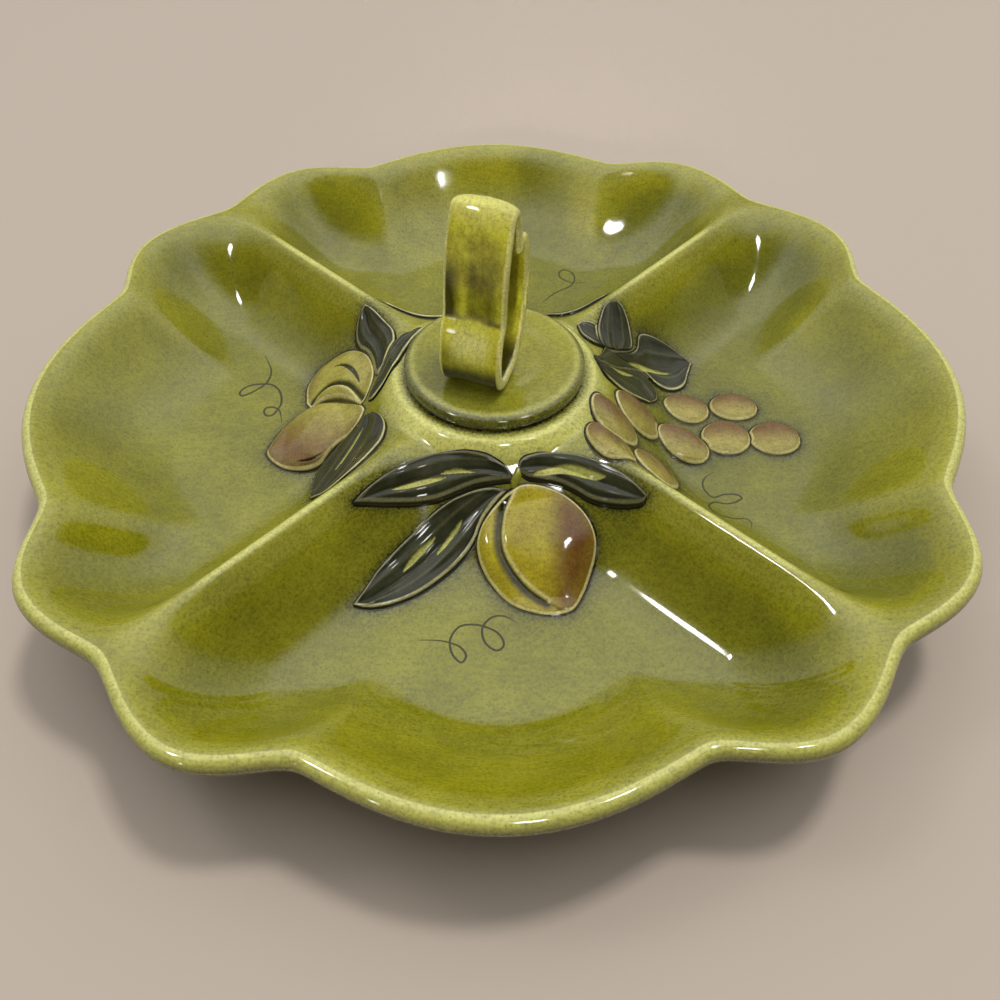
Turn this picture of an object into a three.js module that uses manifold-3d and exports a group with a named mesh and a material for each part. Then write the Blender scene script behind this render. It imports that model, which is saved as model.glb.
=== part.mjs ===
// Divided serving dish in glazed earthenware: a twelve-lobed tray with four compartments round a
// lidded centre well, a lift-off lid with a scroll handle, and fruit-and-leaf sprigs on the tray.
// Millimetres, +Z up. The origin is on the table, under the dish's axis. Compartments face
// -Y (front), +X (right), +Y (back) and -X (left), with the dividers half way between them.
import * as THREE from 'three';
import { mergeVertices } from 'three/addons/utils/BufferGeometryUtils.js';
import loadManifold from 'manifold-3d';

const wasm = await loadManifold();
wasm.setup();

const degrees = THREE.MathUtils.degToRad;

// Tray heights, from the table up
const FOOT_HEIGHT = 8;
const FLOOR_THICKNESS = 7;
const COMPARTMENT_DEPTH = 30;
const COLLAR_RISE = 3.5;

// Tray outline, three lobes to a compartment
const COMPARTMENTS = 4;
const MID_LOBE_RADIUS = 165;
const CORNER_LOBE_RADIUS = 169.5;
const LOBE_VALLEY_RADIUS = 156;
const DIVIDER_NOTCH_RADIUS = 161;
const VALLEY_ANGLE = degrees(20.5);
const CORNER_LOBE_ANGLE = degrees(32.5);
const MID_LOBE_FULLNESS = 0.6;
const CORNER_LOBE_FULLNESS = 0.7;

// Tray walls: each run is how far a slope reaches across the floor
const LIP_THICKNESS = 8;
const LIP_SOFTNESS = 4;
const WALL_RUN = 38;
const WALL_CURVE = 1.6;
const DIVIDER_SOFTNESS = 3.2;
const DIVIDER_RUN = 30;
const SCOOP_CURVE = 2;
const COLLAR_RUN = 40;
const COLLAR_ROUNDING = 6;
const FOOT_RING_WIDTH = 7;
const FOOT_RING_INSET = 10;
const FOOT_RING_EDGE = 1;

// Centre well and the lid that sits on its collar
const WELL_RADIUS = 26;
const WELL_FILLET = 6;
const WELL_MOUTH_EDGE = 1;
const LID_SEAT_WIDTH = 5.5;
const COLLAR_LAND = 3;
const SEAT_GAP = 0.3;
const LID_EDGE_HEIGHT = 3.4;
const LID_CROWN = 2.2;
const LID_ROUNDING = 4.5;
const LOCATING_RING_DEPTH = 6;
const LOCATING_RING_WALL = 4;
const LOCATING_CLEARANCE = 0.8;

// Scroll handle, a strap bent into a loop and stuck on the lid
const HANDLE_RISE = 64;
const HANDLE_DEPTH = 30.5;
const STRAP_WIDTH = 21.5;
const STRAP_THICKNESS = 4.6;
const STRAP_EDGE = 0.8;
const HANDLE_TURN = degrees(-22);
const HANDLE_OFFSET = [-2.8, -4.2];

// Sprigs, pressed in moulds and set on the tray
const LEAF_THICKNESS = 2;
const SPRIG_GAP = 0.3;

// Mesh fineness
const ANGLE_STEPS = 96;
const DIVIDER_CROWDING = 0.6;
const ROUND_STEPS = 48;

// Levels and radii that follow from the sizes above
const UNDERSIDE = FOOT_HEIGHT;
const FLOOR = UNDERSIDE + FLOOR_THICKNESS;
const RIM = FLOOR + COMPARTMENT_DEPTH;
const SEAT = RIM + COLLAR_RISE;
const LID_RADIUS = WELL_RADIUS + LID_SEAT_WIDTH;
const LAND_RADIUS = LID_RADIUS + COLLAR_LAND;
const COLLAR_EDGE = LAND_RADIUS + COLLAR_ROUNDING;
const LID_UNDERSIDE = SEAT + SEAT_GAP;
const LID_TOP = LID_UNDERSIDE + LID_EDGE_HEIGHT + LID_CROWN;
const LIP_RADIUS = LIP_THICKNESS / 2;
const SECTOR = (2 * Math.PI) / COMPARTMENTS;
const FOOT_OUTER = LOBE_VALLEY_RADIUS - LIP_RADIUS - WALL_RUN - FOOT_RING_INSET;
const FOOT_INNER = FOOT_OUTER - FOOT_RING_WIDTH;

const GLAZE = { color: 0x6c7316, roughness: 0.18, metalness: 0 };
const LEAF_GLAZE = { color: 0x24291a, roughness: 0.2, metalness: 0 };
const PEACH_GLAZE = { color: 0x7a6418, roughness: 0.18, metalness: 0 };
const PEAR_GLAZE = { color: 0x7d6a20, roughness: 0.18, metalness: 0 };
const GRAPE_GLAZE = { color: 0x857326, roughness: 0.18, metalness: 0 };
const APPLE_GLAZE = { color: 0x6f7020, roughness: 0.18, metalness: 0 };

// Solids and meshes

/** A closed geometry as a solid, with its seams and poles merged. */
function toSolid(geometry) {
  const bare = geometry.clone();
  bare.deleteAttribute('normal');
  bare.deleteAttribute('uv');
  const merged = mergeVertices(bare, 1e-4);
  const corners = Array.from(merged.index.array);
  const triangles = [];
  for (let i = 0; i < corners.length; i += 3) {
    const [a, b, c] = corners.slice(i, i + 3);
    if (a !== b && b !== c && c !== a) triangles.push(a, b, c);
  }
  return new wasm.Manifold(new wasm.Mesh({
    numProp: 3,
    vertProperties: Float32Array.from(merged.attributes.position.array),
    triVerts: Uint32Array.from(triangles),
  }));
}

/** A solid as a geometry with flat faces. */
function toGeometry(solid) {
  const mesh = solid.getMesh();
  const geometry = new THREE.BufferGeometry();
  geometry.setAttribute('position', new THREE.BufferAttribute(mesh.vertProperties, 3));
  geometry.setIndex(new THREE.BufferAttribute(mesh.triVerts, 1));
  geometry.computeVertexNormals();
  return geometry;
}

/** A named mesh with a material of its own. */
function piece(name, geometry, finish) {
  const mesh = new THREE.Mesh(geometry, new THREE.MeshStandardMaterial(finish));
  mesh.name = name;
  return mesh;
}

/** A lathe about +Z from [radius, height] points. */
function turned(points, steps) {
  const profile = points.map(([radius, height]) => new THREE.Vector2(radius, height));
  return new THREE.LatheGeometry(profile, steps).rotateX(Math.PI / 2);
}

// Tray surface

/** Height of a lobe between its tip (0) and the valley beside it (1). */
function lobe(share, fullness) {
  return ((1 + Math.cos(Math.PI * Math.min(share, 1))) / 2) ** fullness;
}

/** Radius of the tray's outline at an angle from +X. */
function outline(angle) {
  const turn = Math.abs(angle - SECTOR * Math.round(angle / SECTOR));
  if (turn < VALLEY_ANGLE) {
    const rise = MID_LOBE_RADIUS - LOBE_VALLEY_RADIUS;
    return LOBE_VALLEY_RADIUS + rise * lobe(turn / VALLEY_ANGLE, MID_LOBE_FULLNESS);
  }
  const beyondTip = turn > CORNER_LOBE_ANGLE;
  const valley = beyondTip ? DIVIDER_NOTCH_RADIUS : LOBE_VALLEY_RADIUS;
  const reach = (beyondTip ? SECTOR / 2 : VALLEY_ANGLE) - CORNER_LOBE_ANGLE;
  const share = (turn - CORNER_LOBE_ANGLE) / reach;
  return valley + (CORNER_LOBE_RADIUS - valley) * lobe(share, CORNER_LOBE_FULLNESS);
}

/** A slope that falls from 1 at a rounded crest to 0 where its run ends. */
function slope(distance, softness, run, curve) {
  const along = Math.hypot(distance, softness) - softness;
  return Math.max(1 - along / run, 0) ** curve;
}

/** Share of the wall's height at a distance in from the lip's crest. */
function wallShare(inset) {
  return slope(Math.max(inset, 0), LIP_SOFTNESS, WALL_RUN, WALL_CURVE);
}

/** Height of the tray's upper surface, from the collar's land out to the lip's crest. */
function trayTop(radius, angle) {
  const wall = wallShare(outline(angle) - LIP_RADIUS - radius);
  const turn = angle - SECTOR * (Math.floor(angle / SECTOR) + 0.5);
  const aside = radius * Math.abs(Math.sin(turn));
  const divider = slope(aside, DIVIDER_SOFTNESS, DIVIDER_RUN, SCOOP_CURVE);
  const outward = radius - LAND_RADIUS;
  const collar = slope(outward, COLLAR_ROUNDING, COLLAR_RUN, SCOOP_CURVE);
  const filled = 1 - (1 - wall) * (1 - divider) * (1 - collar);
  const ring = (1 + Math.cos(Math.PI * Math.min(outward / COLLAR_ROUNDING, 1))) / 2;
  return FLOOR + COMPARTMENT_DEPTH * filled + COLLAR_RISE * ring;
}

/** Height of the tray's underside at a distance in from the lip's crest. */
function trayUnder(inset) {
  return UNDERSIDE + (RIM - LIP_THICKNESS - UNDERSIDE) * wallShare(inset);
}

/** A station that is the same all round. */
function round(radius, height) {
  return () => [radius, height];
}

/** Stations of the tray's upper surface, from the well's centre out to the lip's crest. */
function upperStations() {
  const dip = WELL_FILLET * (1 - Math.SQRT1_2);
  const scoop = (radius) => (angle) => [radius, trayTop(radius, angle)];
  const wall = (inset) => (angle) => {
    const radius = outline(angle) - LIP_RADIUS - inset;
    return [radius, trayTop(radius, angle)];
  };
  return [
    round(0, FLOOR),
    round(WELL_RADIUS - WELL_FILLET, FLOOR),
    round(WELL_RADIUS - dip, FLOOR + dip),
    round(WELL_RADIUS, FLOOR + WELL_FILLET),
    round(WELL_RADIUS, SEAT - WELL_MOUTH_EDGE),
    round(WELL_RADIUS + WELL_MOUTH_EDGE, SEAT),
    round(LAND_RADIUS, SEAT),
    ...[0.35, 0.7, 1].map((share) => scoop(LAND_RADIUS + COLLAR_ROUNDING * share)),
    ...[0.1, 0.27, 0.5, 0.8, 1.2].map((share) => scoop(COLLAR_EDGE + COLLAR_RUN * share)),
    ...[1.1, 0.85, 0.65, 0.45, 0.28, 0.13].map((share) => wall(WALL_RUN * share)),
    wall(0),
  ];
}

/** Stations of the lip's outside, the underside and the foot ring, in to the axis. */
function lowerStations() {
  const lip = (tilt) => (angle) => [
    outline(angle) - LIP_RADIUS * (1 - Math.sin(tilt)),
    RIM - LIP_RADIUS * (1 - Math.cos(tilt)),
  ];
  const under = (inset) => (angle) => [outline(angle) - LIP_RADIUS - inset, trayUnder(inset)];
  return [
    ...[45, 90, 135, 180].map((tilt) => lip(degrees(tilt))),
    ...[0.22, 0.48, 0.75, 1.1].map((share) => under(WALL_RUN * share)),
    round(FOOT_OUTER, UNDERSIDE),
    round(FOOT_OUTER, FOOT_RING_EDGE),
    round(FOOT_OUTER - FOOT_RING_EDGE, 0),
    round(FOOT_INNER + FOOT_RING_EDGE, 0),
    round(FOOT_INNER, FOOT_RING_EDGE),
    round(FOOT_INNER, UNDERSIDE),
    round(0, UNDERSIDE),
  ];
}

/** Angle of a lathe step, crowded towards the dividers. */
function stepAngle(step) {
  const even = (step / ANGLE_STEPS) * 2 * Math.PI;
  return even + (DIVIDER_CROWDING / COMPARTMENTS) * Math.sin(COMPARTMENTS * even);
}

/** A solid lathe whose points are moved onto lobed stations, listed from the top's centre. */
function lobedSolid(stations) {
  const upwards = stations.toReversed();
  const geometry = turned(upwards.map((station) => station(0)), ANGLE_STEPS);
  const position = geometry.attributes.position;
  for (let i = 0; i < position.count; i += 1) {
    const angle = stepAngle(Math.floor(i / upwards.length));
    const [radius, height] = upwards[i % upwards.length](angle);
    position.setXYZ(i, radius * Math.cos(angle), radius * Math.sin(angle), height);
  }
  return toSolid(geometry);
}

// Lid

/** The lid disc, with a rounded edge and a locating ring that drops into the well. */
function lidGeometry() {
  const ringOuter = WELL_RADIUS - LOCATING_CLEARANCE;
  const ringInner = ringOuter - LOCATING_RING_WALL;
  const ringEnd = LID_UNDERSIDE - LOCATING_RING_DEPTH;
  const shoulder = LID_UNDERSIDE + LID_EDGE_HEIGHT;
  const rounded = [0, 30, 60, 90].map(degrees).map((tilt) => [
    LID_RADIUS - LID_ROUNDING * (1 - Math.cos(tilt)),
    shoulder + LID_CROWN * Math.sin(tilt),
  ]);
  return turned([
    [0, LID_UNDERSIDE],
    [ringInner, LID_UNDERSIDE],
    [ringInner, ringEnd],
    [ringOuter, ringEnd],
    [ringOuter, LID_UNDERSIDE],
    [LID_RADIUS, LID_UNDERSIDE],
    ...rounded,
    [0, LID_TOP],
  ], ROUND_STEPS);
}

/** Outline of a strap that follows a line of [depth, rise] shares, with round ends. */
function strapShape(shares) {
  const half = STRAP_THICKNESS / 2;
  const place = ([depth, rise]) => new THREE.Vector3(depth * HANDLE_DEPTH, rise * HANDLE_RISE, 0);
  const line = new THREE.CatmullRomCurve3(shares.map(place), false, 'centripetal');
  const steps = shares.length * 2;
  const sides = [[], []];
  for (let i = 0; i <= steps; i += 1) {
    const at = line.getPointAt(i / steps);
    const way = line.getTangentAt(i / steps);
    sides[0].push(new THREE.Vector2(at.x - way.y * half, at.y + way.x * half));
    sides[1].push(new THREE.Vector2(at.x + way.y * half, at.y - way.x * half));
  }
  const end = line.getPointAt(1);
  const way = line.getTangentAt(1);
  const tip = new THREE.Vector2(end.x + way.x * half, end.y + way.y * half);
  return new THREE.Shape([...sides[0], tip, ...sides[1].reverse()]);
}

/** The handle: a front strap that curls over at the top, and a rear strap that meets both its ends. */
function handleGeometry() {
  const frontLine = [
    [0.3, 0.04], [0.12, 0.04], [0.075, 0.14], [0.08, 0.24], [0.16, 0.363], [0.23, 0.45], [0.27, 0.53],
    [0.315, 0.65], [0.41, 0.793], [0.5, 0.91], [0.585, 0.965], [0.645, 0.9], [0.67, 0.81], [0.675, 0.7],
  ];
  const rearLine = [
    [0.69, 0.745], [0.815, 0.735], [0.9, 0.63], [0.91, 0.55], [0.885, 0.43], [0.81, 0.28],
    [0.685, 0.155], [0.52, 0.065], [0.3, 0.04],
  ];
  const settings = {
    depth: STRAP_WIDTH - 2 * STRAP_EDGE,
    bevelThickness: STRAP_EDGE,
    bevelSize: STRAP_EDGE,
    bevelOffset: -STRAP_EDGE,
    bevelSegments: 1,
    curveSegments: 1,
  };
  const straps = [frontLine, rearLine].map((line) => (
    toSolid(new THREE.ExtrudeGeometry(strapShape(line), settings))
  ));
  const geometry = toGeometry(straps[0].add(straps[1]));
  return geometry
    .translate(-HANDLE_DEPTH / 2, 0, -STRAP_WIDTH / 2 + STRAP_EDGE)
    .rotateX(Math.PI / 2)
    .rotateZ(Math.PI / 2 + HANDLE_TURN);
}

// Sprigs

/** A point given by [across, out]: across the compartment, and out from the collar's edge. */
function trayPoint([across, out], facing) {
  const radius = COLLAR_EDGE + out;
  return new THREE.Vector2(
    radius * Math.cos(facing) - across * Math.sin(facing),
    radius * Math.sin(facing) + across * Math.cos(facing),
  );
}

/** Height of the tray's upper surface at a point. */
function heightAt(point) {
  return trayTop(point.length(), point.angle());
}

/** A fruit: an ellipsoid laid along the tray's slope. Length and width are where it meets the tray. */
function fruit({ at, towards, length, width, proud, sunk, fineness }, facing, margin) {
  const centre = trayPoint(at, facing);
  const ahead = trayPoint([at[0] + towards[0], at[1] + towards[1]], facing).sub(centre).normalize();
  const aside = new THREE.Vector2(-ahead.y, ahead.x);
  const rise = (way, reach) => (
    heightAt(centre.clone().addScaledVector(way, reach))
    - heightAt(centre.clone().addScaledVector(way, -reach))
  ) / (2 * reach);
  const along = new THREE.Vector3(ahead.x, ahead.y, rise(ahead, length / 2)).normalize();
  const across = new THREE.Vector3(aside.x, aside.y, rise(aside, width / 2)).normalize();
  const normal = along.clone().cross(across).normalize();
  const height = proud + sunk;
  const spread = Math.sqrt(1 - (sunk / height) ** 2);
  const halves = [length / 2 / spread, width / 2 / spread, height].map((half) => half + margin);
  const egg = new THREE.SphereGeometry(1, fineness, fineness / 2).rotateX(Math.PI / 2).scale(...halves);
  const stance = new THREE.Matrix4().makeBasis(along, normal.clone().cross(along), normal);
  const seat = new THREE.Vector3(centre.x, centre.y, heightAt(centre)).addScaledVector(normal, -sunk);
  return toSolid(egg.applyMatrix4(stance.setPosition(seat)));
}

/** A leaf's upright prism: two curves from its base to its tip, bowed to either side. */
function leafPrism({ base, tip, width, bow }, facing, margin) {
  const from = trayPoint(base, facing);
  const to = trayPoint(tip, facing);
  const along = to.clone().sub(from).normalize();
  const aside = new THREE.Vector2(-along.y, along.x);
  from.addScaledVector(along, -margin);
  to.addScaledVector(along, margin);
  const middle = from.clone().lerp(to, 0.45).addScaledVector(aside, 2 * bow);
  const reach = width + 2 * margin;
  const bulge = (side) => middle.clone().addScaledVector(aside, side * reach);
  const shape = new THREE.Shape();
  shape.moveTo(from.x, from.y);
  shape.quadraticCurveTo(bulge(-1).x, bulge(-1).y, to.x, to.y);
  shape.quadraticCurveTo(bulge(1).x, bulge(1).y, from.x, from.y);
  return toSolid(new THREE.ExtrudeGeometry(shape, {
    depth: LID_TOP,
    bevelEnabled: false,
    curveSegments: 7,
  }));
}

/** A spray of one or more leaves, as thick as a leaf over the tray's surface. */
function spray({ leaves }, facing, margin) {
  const prisms = leaves.map((leaf) => leafPrism(leaf, facing, margin));
  return prisms.reduce((joined, prism) => joined.add(prism));
}

const tray = lobedSolid([...upperStations(), ...lowerStations()]);

// All that lies under the tray's upper surface, down past any fruit's hidden half
const ground = lobedSolid([
  ...upperStations(),
  (angle) => [outline(angle) - LIP_RADIUS, -RIM],
  round(0, -RIM),
]);
const seatCut = ground.translate(0, 0, SPRIG_GAP);
const leafTop = ground.translate(0, 0, LEAF_THICKNESS);

// Sprigs already laid, each with the gap that later ones keep to it
const laid = [];

/** A motif's sprigs, each seated on the tray and cut clear of all those laid before it. */
function motif(facing, sprigs) {
  return sprigs.map((sprig) => {
    const bodyOf = sprig.leaves ? spray : fruit;
    let solid = bodyOf(sprig, facing, 0);
    if (sprig.leaves) solid = solid.intersect(leafTop);
    solid = solid.subtract(seatCut);
    for (const neighbour of laid) solid = solid.subtract(neighbour);
    laid.push(bodyOf(sprig, facing, SPRIG_GAP));
    return piece(sprig.name, toGeometry(solid), sprig.glaze);
  });
}

/** One leaf by itself. */
function leaf(name, base, tip, width, bow) {
  return { name, glaze: LEAF_GLAZE, leaves: [{ base, tip, width, bow }] };
}

const FRONT = degrees(-90);
const RIGHT = 0;
const BACK = degrees(90);
const LEFT = degrees(180);

const PEACH_MOTIF = [
  {
    name: 'peach', glaze: PEACH_GLAZE, at: [13, 20.5], towards: [10, 17],
    length: 50, width: 46, proud: 9, sunk: 5, fineness: 20,
  },
  leaf('peach_leaf_left', [2, 4], [-46, 13.5], 14, -7),
  leaf('peach_leaf_low', [-1, 7], [-48, 38], 16, -2),
  leaf('peach_leaf_right', [10, 2], [48, 13.5], 13, 5),
];

const PEAR_MOTIF = [
  {
    name: 'pear_large', glaze: PEAR_GLAZE, at: [3.5, 27], towards: [6, 37],
    length: 47, width: 28, proud: 7.5, sunk: 4, fineness: 18,
  },
  {
    name: 'pear_small', glaze: PEAR_GLAZE, at: [-20.5, 19], towards: [-12, 26],
    length: 37, width: 28, proud: 7, sunk: 4, fineness: 16,
  },
  leaf('pear_leaf_top', [-13, 2], [-45, 8.5], 16, 2),
  leaf('pear_leaf_collar', [1, 2], [-25, -12.5], 8, 2),
  leaf('pear_leaf_low', [9, 2], [37, 23], 13, -3),
];

const GRAPES = [
  [-9.5, 28.5], [11, 33], [10.5, 50.5], [-5.5, 45.5], [-6.5, 63], [-6, 11.5], [-18, 2.5], [-31, -1.5],
  [-29, 15],
];
const GRAPE = { towards: [0, 1], length: 20, width: 18, proud: 6, sunk: 3, fineness: 12 };

const GRAPE_MOTIF = [
  ...GRAPES.map((at, i) => ({ ...GRAPE, name: `grape_${i + 1}`, glaze: GRAPE_GLAZE, at })),
  {
    name: 'vine_leaf', glaze: LEAF_GLAZE, leaves: [
      { base: [22, 6], tip: [43, 7.5], width: 15, bow: 0 },
      { base: [25, 10], tip: [28, -9], width: 11, bow: 0 },
      { base: [22, 5], tip: [36, 38], width: 13, bow: -3 },
      { base: [20, 6], tip: [26, 34], width: 10, bow: 1 },
      { base: [24, 8], tip: [14, 21], width: 9, bow: 0 },
    ],
  },
];

const APPLE_MOTIF = [
  {
    name: 'apple', glaze: APPLE_GLAZE, at: [-8, 17], towards: [-2, 20],
    length: 41, width: 42, proud: 8.5, sunk: 5, fineness: 20,
  },
  leaf('apple_leaf_left', [4, 3], [46, 13], 14, 6),
  leaf('apple_leaf_right', [-18, 2], [-47, 13.5], 13, -4),
];

// Assembly: the tray with its sprigs, and the lid with its handle

const dish = new THREE.Group();
dish.add(
  piece('tray', toGeometry(tray), GLAZE),
  ...motif(FRONT, PEACH_MOTIF),
  ...motif(LEFT, PEAR_MOTIF),
  ...motif(RIGHT, GRAPE_MOTIF),
  ...motif(BACK, APPLE_MOTIF),
);

const lid = new THREE.Group();
lid.add(piece('lid_disc', toGeometry(toSolid(lidGeometry())), GLAZE));
const handle = piece('lid_handle', handleGeometry(), GLAZE);
handle.position.set(...HANDLE_OFFSET, LID_TOP + SEAT_GAP);
lid.add(handle);
dish.add(lid);

export default dish;
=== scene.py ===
"""Looks of a divided serving dish in glazed earthenware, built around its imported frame.

Sizes are in millimetres and degrees up to the point where a mesh is made; Blender's objects are in metres.
"""

import logging
import math
from collections.abc import Mapping, Sequence
from dataclasses import dataclass, field
from enum import Enum
from functools import cached_property

import bmesh
import bpy
import numpy as np
from mathutils import Matrix, Vector


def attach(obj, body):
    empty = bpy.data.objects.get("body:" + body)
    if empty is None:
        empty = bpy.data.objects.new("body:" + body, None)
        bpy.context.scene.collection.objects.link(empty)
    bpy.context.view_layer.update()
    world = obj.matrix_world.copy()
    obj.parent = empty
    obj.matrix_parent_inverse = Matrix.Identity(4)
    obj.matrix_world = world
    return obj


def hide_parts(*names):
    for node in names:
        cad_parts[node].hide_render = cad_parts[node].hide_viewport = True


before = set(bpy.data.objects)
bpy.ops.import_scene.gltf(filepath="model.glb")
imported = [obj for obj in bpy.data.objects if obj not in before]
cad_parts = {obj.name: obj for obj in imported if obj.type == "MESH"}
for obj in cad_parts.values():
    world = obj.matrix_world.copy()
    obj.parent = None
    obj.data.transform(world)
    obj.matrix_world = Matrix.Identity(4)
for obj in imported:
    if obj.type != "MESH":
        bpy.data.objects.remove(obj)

MM = 0.001
# Degrees from one divider to the next
QUARTER = 90.0
# Points that a smooth line is drawn with from one of its given points to the next
SPAN_POINTS = 16
LOG = logging.getLogger("serving_dish")

Pair = tuple[float, float]
# Radius and height round one ring of the tray, and how thin and how pooled its glaze is
Ring = tuple[np.ndarray | float, np.ndarray | float, np.ndarray | float, np.ndarray | float]


class Side(Enum):
    """A compartment of the tray, by the angle from +X that it faces."""

    FRONT = -90.0
    RIGHT = 0.0
    BACK = 90.0
    LEFT = 180.0

    def place(self, across: np.ndarray, out: np.ndarray) -> tuple[np.ndarray, np.ndarray]:
        """Turns sizes across and out from the dish's axis into X and Y.

        Args:
            across: Distance across the compartment.
            out: Distance from the axis.

        Returns:
            X and Y.
        """
        turn = math.radians(self.value)
        x = out * math.cos(turn) - across * math.sin(turn)
        y = out * math.sin(turn) + across * math.cos(turn)
        return x, y


class Slot(Enum):
    """The record's material slots."""

    GLAZE = "glaze"
    LEAF = "leaf_glaze"
    PEACH = "peach_glaze"
    PEAR = "pear_glaze"
    GRAPE = "grape_glaze"
    APPLE = "apple_glaze"


class Body(Enum):
    """The frame's moving bodies."""

    TRAY = "tray"
    LID = "lid"


# Small numeric tools


def soft_step(low: float, high: float, value: np.ndarray | float) -> np.ndarray:
    """Rises smoothly from 0 at low to 1 at high."""
    share = np.clip((value - low) / (high - low), 0.0, 1.0)
    return share * share * (3.0 - 2.0 * share)


def smooth_line(points: Sequence[Sequence[float]], steps: int) -> np.ndarray:
    """Draws a smooth line through points.

    Args:
        points: The points to pass through.
        steps: How many points to return, evenly spaced along the line.

    Returns:
        The line's points, one to a row.
    """
    given = np.asarray(points, float)
    ends = np.vstack([2 * given[0] - given[1], given, 2 * given[-1] - given[-2]])
    spans = []
    for corners in zip(ends, ends[1:], ends[2:], ends[3:]):
        gaps = [math.sqrt(np.linalg.norm(b - a)) for a, b in zip(corners, corners[1:])]
        knots = np.r_[0.0, np.cumsum(gaps)]
        time = np.linspace(knots[1], knots[2], SPAN_POINTS, endpoint=False)[:, None]
        layer = list(corners)
        for lows, highs in (((0, 1, 2), (1, 2, 3)), ((0, 1), (2, 3)), ((1,), (2,))):
            layer = [
                ((knots[high] - time) * before + (time - knots[low]) * after) / (knots[high] - knots[low])
                for low, high, before, after in zip(lows, highs, layer, layer[1:])
            ]
        spans.append(layer[0])
    dense = np.vstack([*spans, given[-1:]])
    along = np.r_[0.0, np.cumsum(np.linalg.norm(np.diff(dense, axis=0), axis=1))]
    even = np.linspace(0.0, along[-1], steps)
    return np.column_stack([np.interp(even, along, axis) for axis in dense.T])


def distance_to_line(points: np.ndarray, line: np.ndarray) -> np.ndarray:
    """Measures how far points lie, in plan, from a line of short straight pieces.

    Args:
        points: The points, one to a row.
        line: The line's corners, one to a row.

    Returns:
        The shortest distance from each point.
    """
    best = np.full(len(points), np.inf)
    for start, end in zip(line, line[1:]):
        way = end - start
        share = np.clip((points - start) @ way / (way @ way), 0.0, 1.0)
        best = np.minimum(best, np.linalg.norm(points - start - share[:, None] * way, axis=1))
    return best


@dataclass
class Shell:
    """A closed skin of points and faces, with a number per point for each named mark."""

    points: np.ndarray
    faces: list[tuple[int, ...]]
    marks: dict[str, np.ndarray] = field(default_factory=dict)

    @classmethod
    def loft(cls, loops: np.ndarray, marks: Mapping[str, np.ndarray] | None = None) -> "Shell":
        """Skins a row of loops and closes both ends to a point.

        Args:
            loops: Array of loops, points in a loop, and X, Y, Z.
            marks: A number for each point of the loops, by the mark's name.

        Returns:
            The closed skin.
        """
        rows, columns = loops.shape[:2]
        points = np.vstack([loops.reshape(-1, 3), loops[0].mean(0), loops[-1].mean(0)])
        first_pole, last_pole = rows * columns, rows * columns + 1
        faces: list[tuple[int, ...]] = []
        for row in range(rows - 1):
            here, there = row * columns, (row + 1) * columns
            for column in range(columns):
                onward = (column + 1) % columns
                faces.append((here + column, there + column, there + onward, here + onward))
        last = (rows - 1) * columns
        for column in range(columns):
            onward = (column + 1) % columns
            faces.append((first_pole, column, onward))
            faces.append((last_pole, last + onward, last + column))
        kept = {}
        for name, values in (marks or {}).items():
            kept[name] = np.r_[values.reshape(-1), values[0].mean(), values[-1].mean()]
        return cls(points, faces, kept)

    @classmethod
    def joined(cls, shells: Sequence["Shell"]) -> "Shell":
        """Puts several skins into one, each still closed by itself.

        Args:
            shells: The skins, all with the same marks.

        Returns:
            One skin with all their points, faces and marks.
        """
        points = np.vstack([shell.points for shell in shells])
        faces: list[tuple[int, ...]] = []
        start = 0
        for shell in shells:
            faces.extend(tuple(start + corner for corner in face) for face in shell.faces)
            start += len(shell.points)
        marks = {name: np.concatenate([shell.marks[name] for shell in shells]) for name in shells[0].marks}
        return cls(points, faces, marks)

    def to_object(self, name: str) -> bpy.types.Object:
        """Makes a smooth mesh object in metres, with its faces out and its marks as attributes.

        Args:
            name: The object's name.

        Returns:
            The object, linked to the scene.
        """
        mesh = bpy.data.meshes.new(name)
        mesh.from_pydata((self.points * MM).tolist(), [], self.faces)
        shape = bmesh.new()
        shape.from_mesh(mesh)
        bmesh.ops.recalc_face_normals(shape, faces=shape.faces)
        shape.to_mesh(mesh)
        shape.free()
        mesh.shade_smooth()
        set_marks(mesh, self.marks)
        made = bpy.data.objects.new(name, mesh)
        bpy.context.scene.collection.objects.link(made)
        return made


def set_marks(mesh: bpy.types.Mesh, marks: Mapping[str, np.ndarray]) -> None:
    """Stores a number per point for each mark, for the finishes to read.

    Args:
        mesh: The mesh.
        marks: The numbers, by the mark's name.
    """
    for name, values in marks.items():
        store = mesh.attributes.new(name, "FLOAT", "POINT")
        store.data.foreach_set("value", np.asarray(values, np.float32))


# Finishes


def linear(colour: str) -> tuple[float, float, float, float]:
    """Turns an sRGB colour into the linear one that shaders use.

    Args:
        colour: The colour as #rrggbb.

    Returns:
        Linear red, green, blue and alpha.
    """
    channels = [int(colour[i:i + 2], 16) / 255 for i in (1, 3, 5)]
    curved = [c / 12.92 if c <= 0.04045 else ((c + 0.055) / 1.055) ** 2.4 for c in channels]
    return (*curved, 1.0)


def add_node(
    tree: bpy.types.NodeTree,
    kind: str,
    inputs: Mapping[str | int, object] | None = None,
    **settings: object,
) -> bpy.types.Node:
    """Adds a node with its settings, values and links.

    Args:
        tree: The node tree.
        kind: The node's type.
        inputs: A value or an output socket for each input, by name or place.
        **settings: Properties of the node.

    Returns:
        The node.
    """
    made = tree.nodes.new(kind)
    for name, value in settings.items():
        setattr(made, name, value)
    for key, value in (inputs or {}).items():
        if isinstance(value, bpy.types.NodeSocket):
            tree.links.new(value, made.inputs[key])
        else:
            made.inputs[key].default_value = value
    return made


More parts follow.
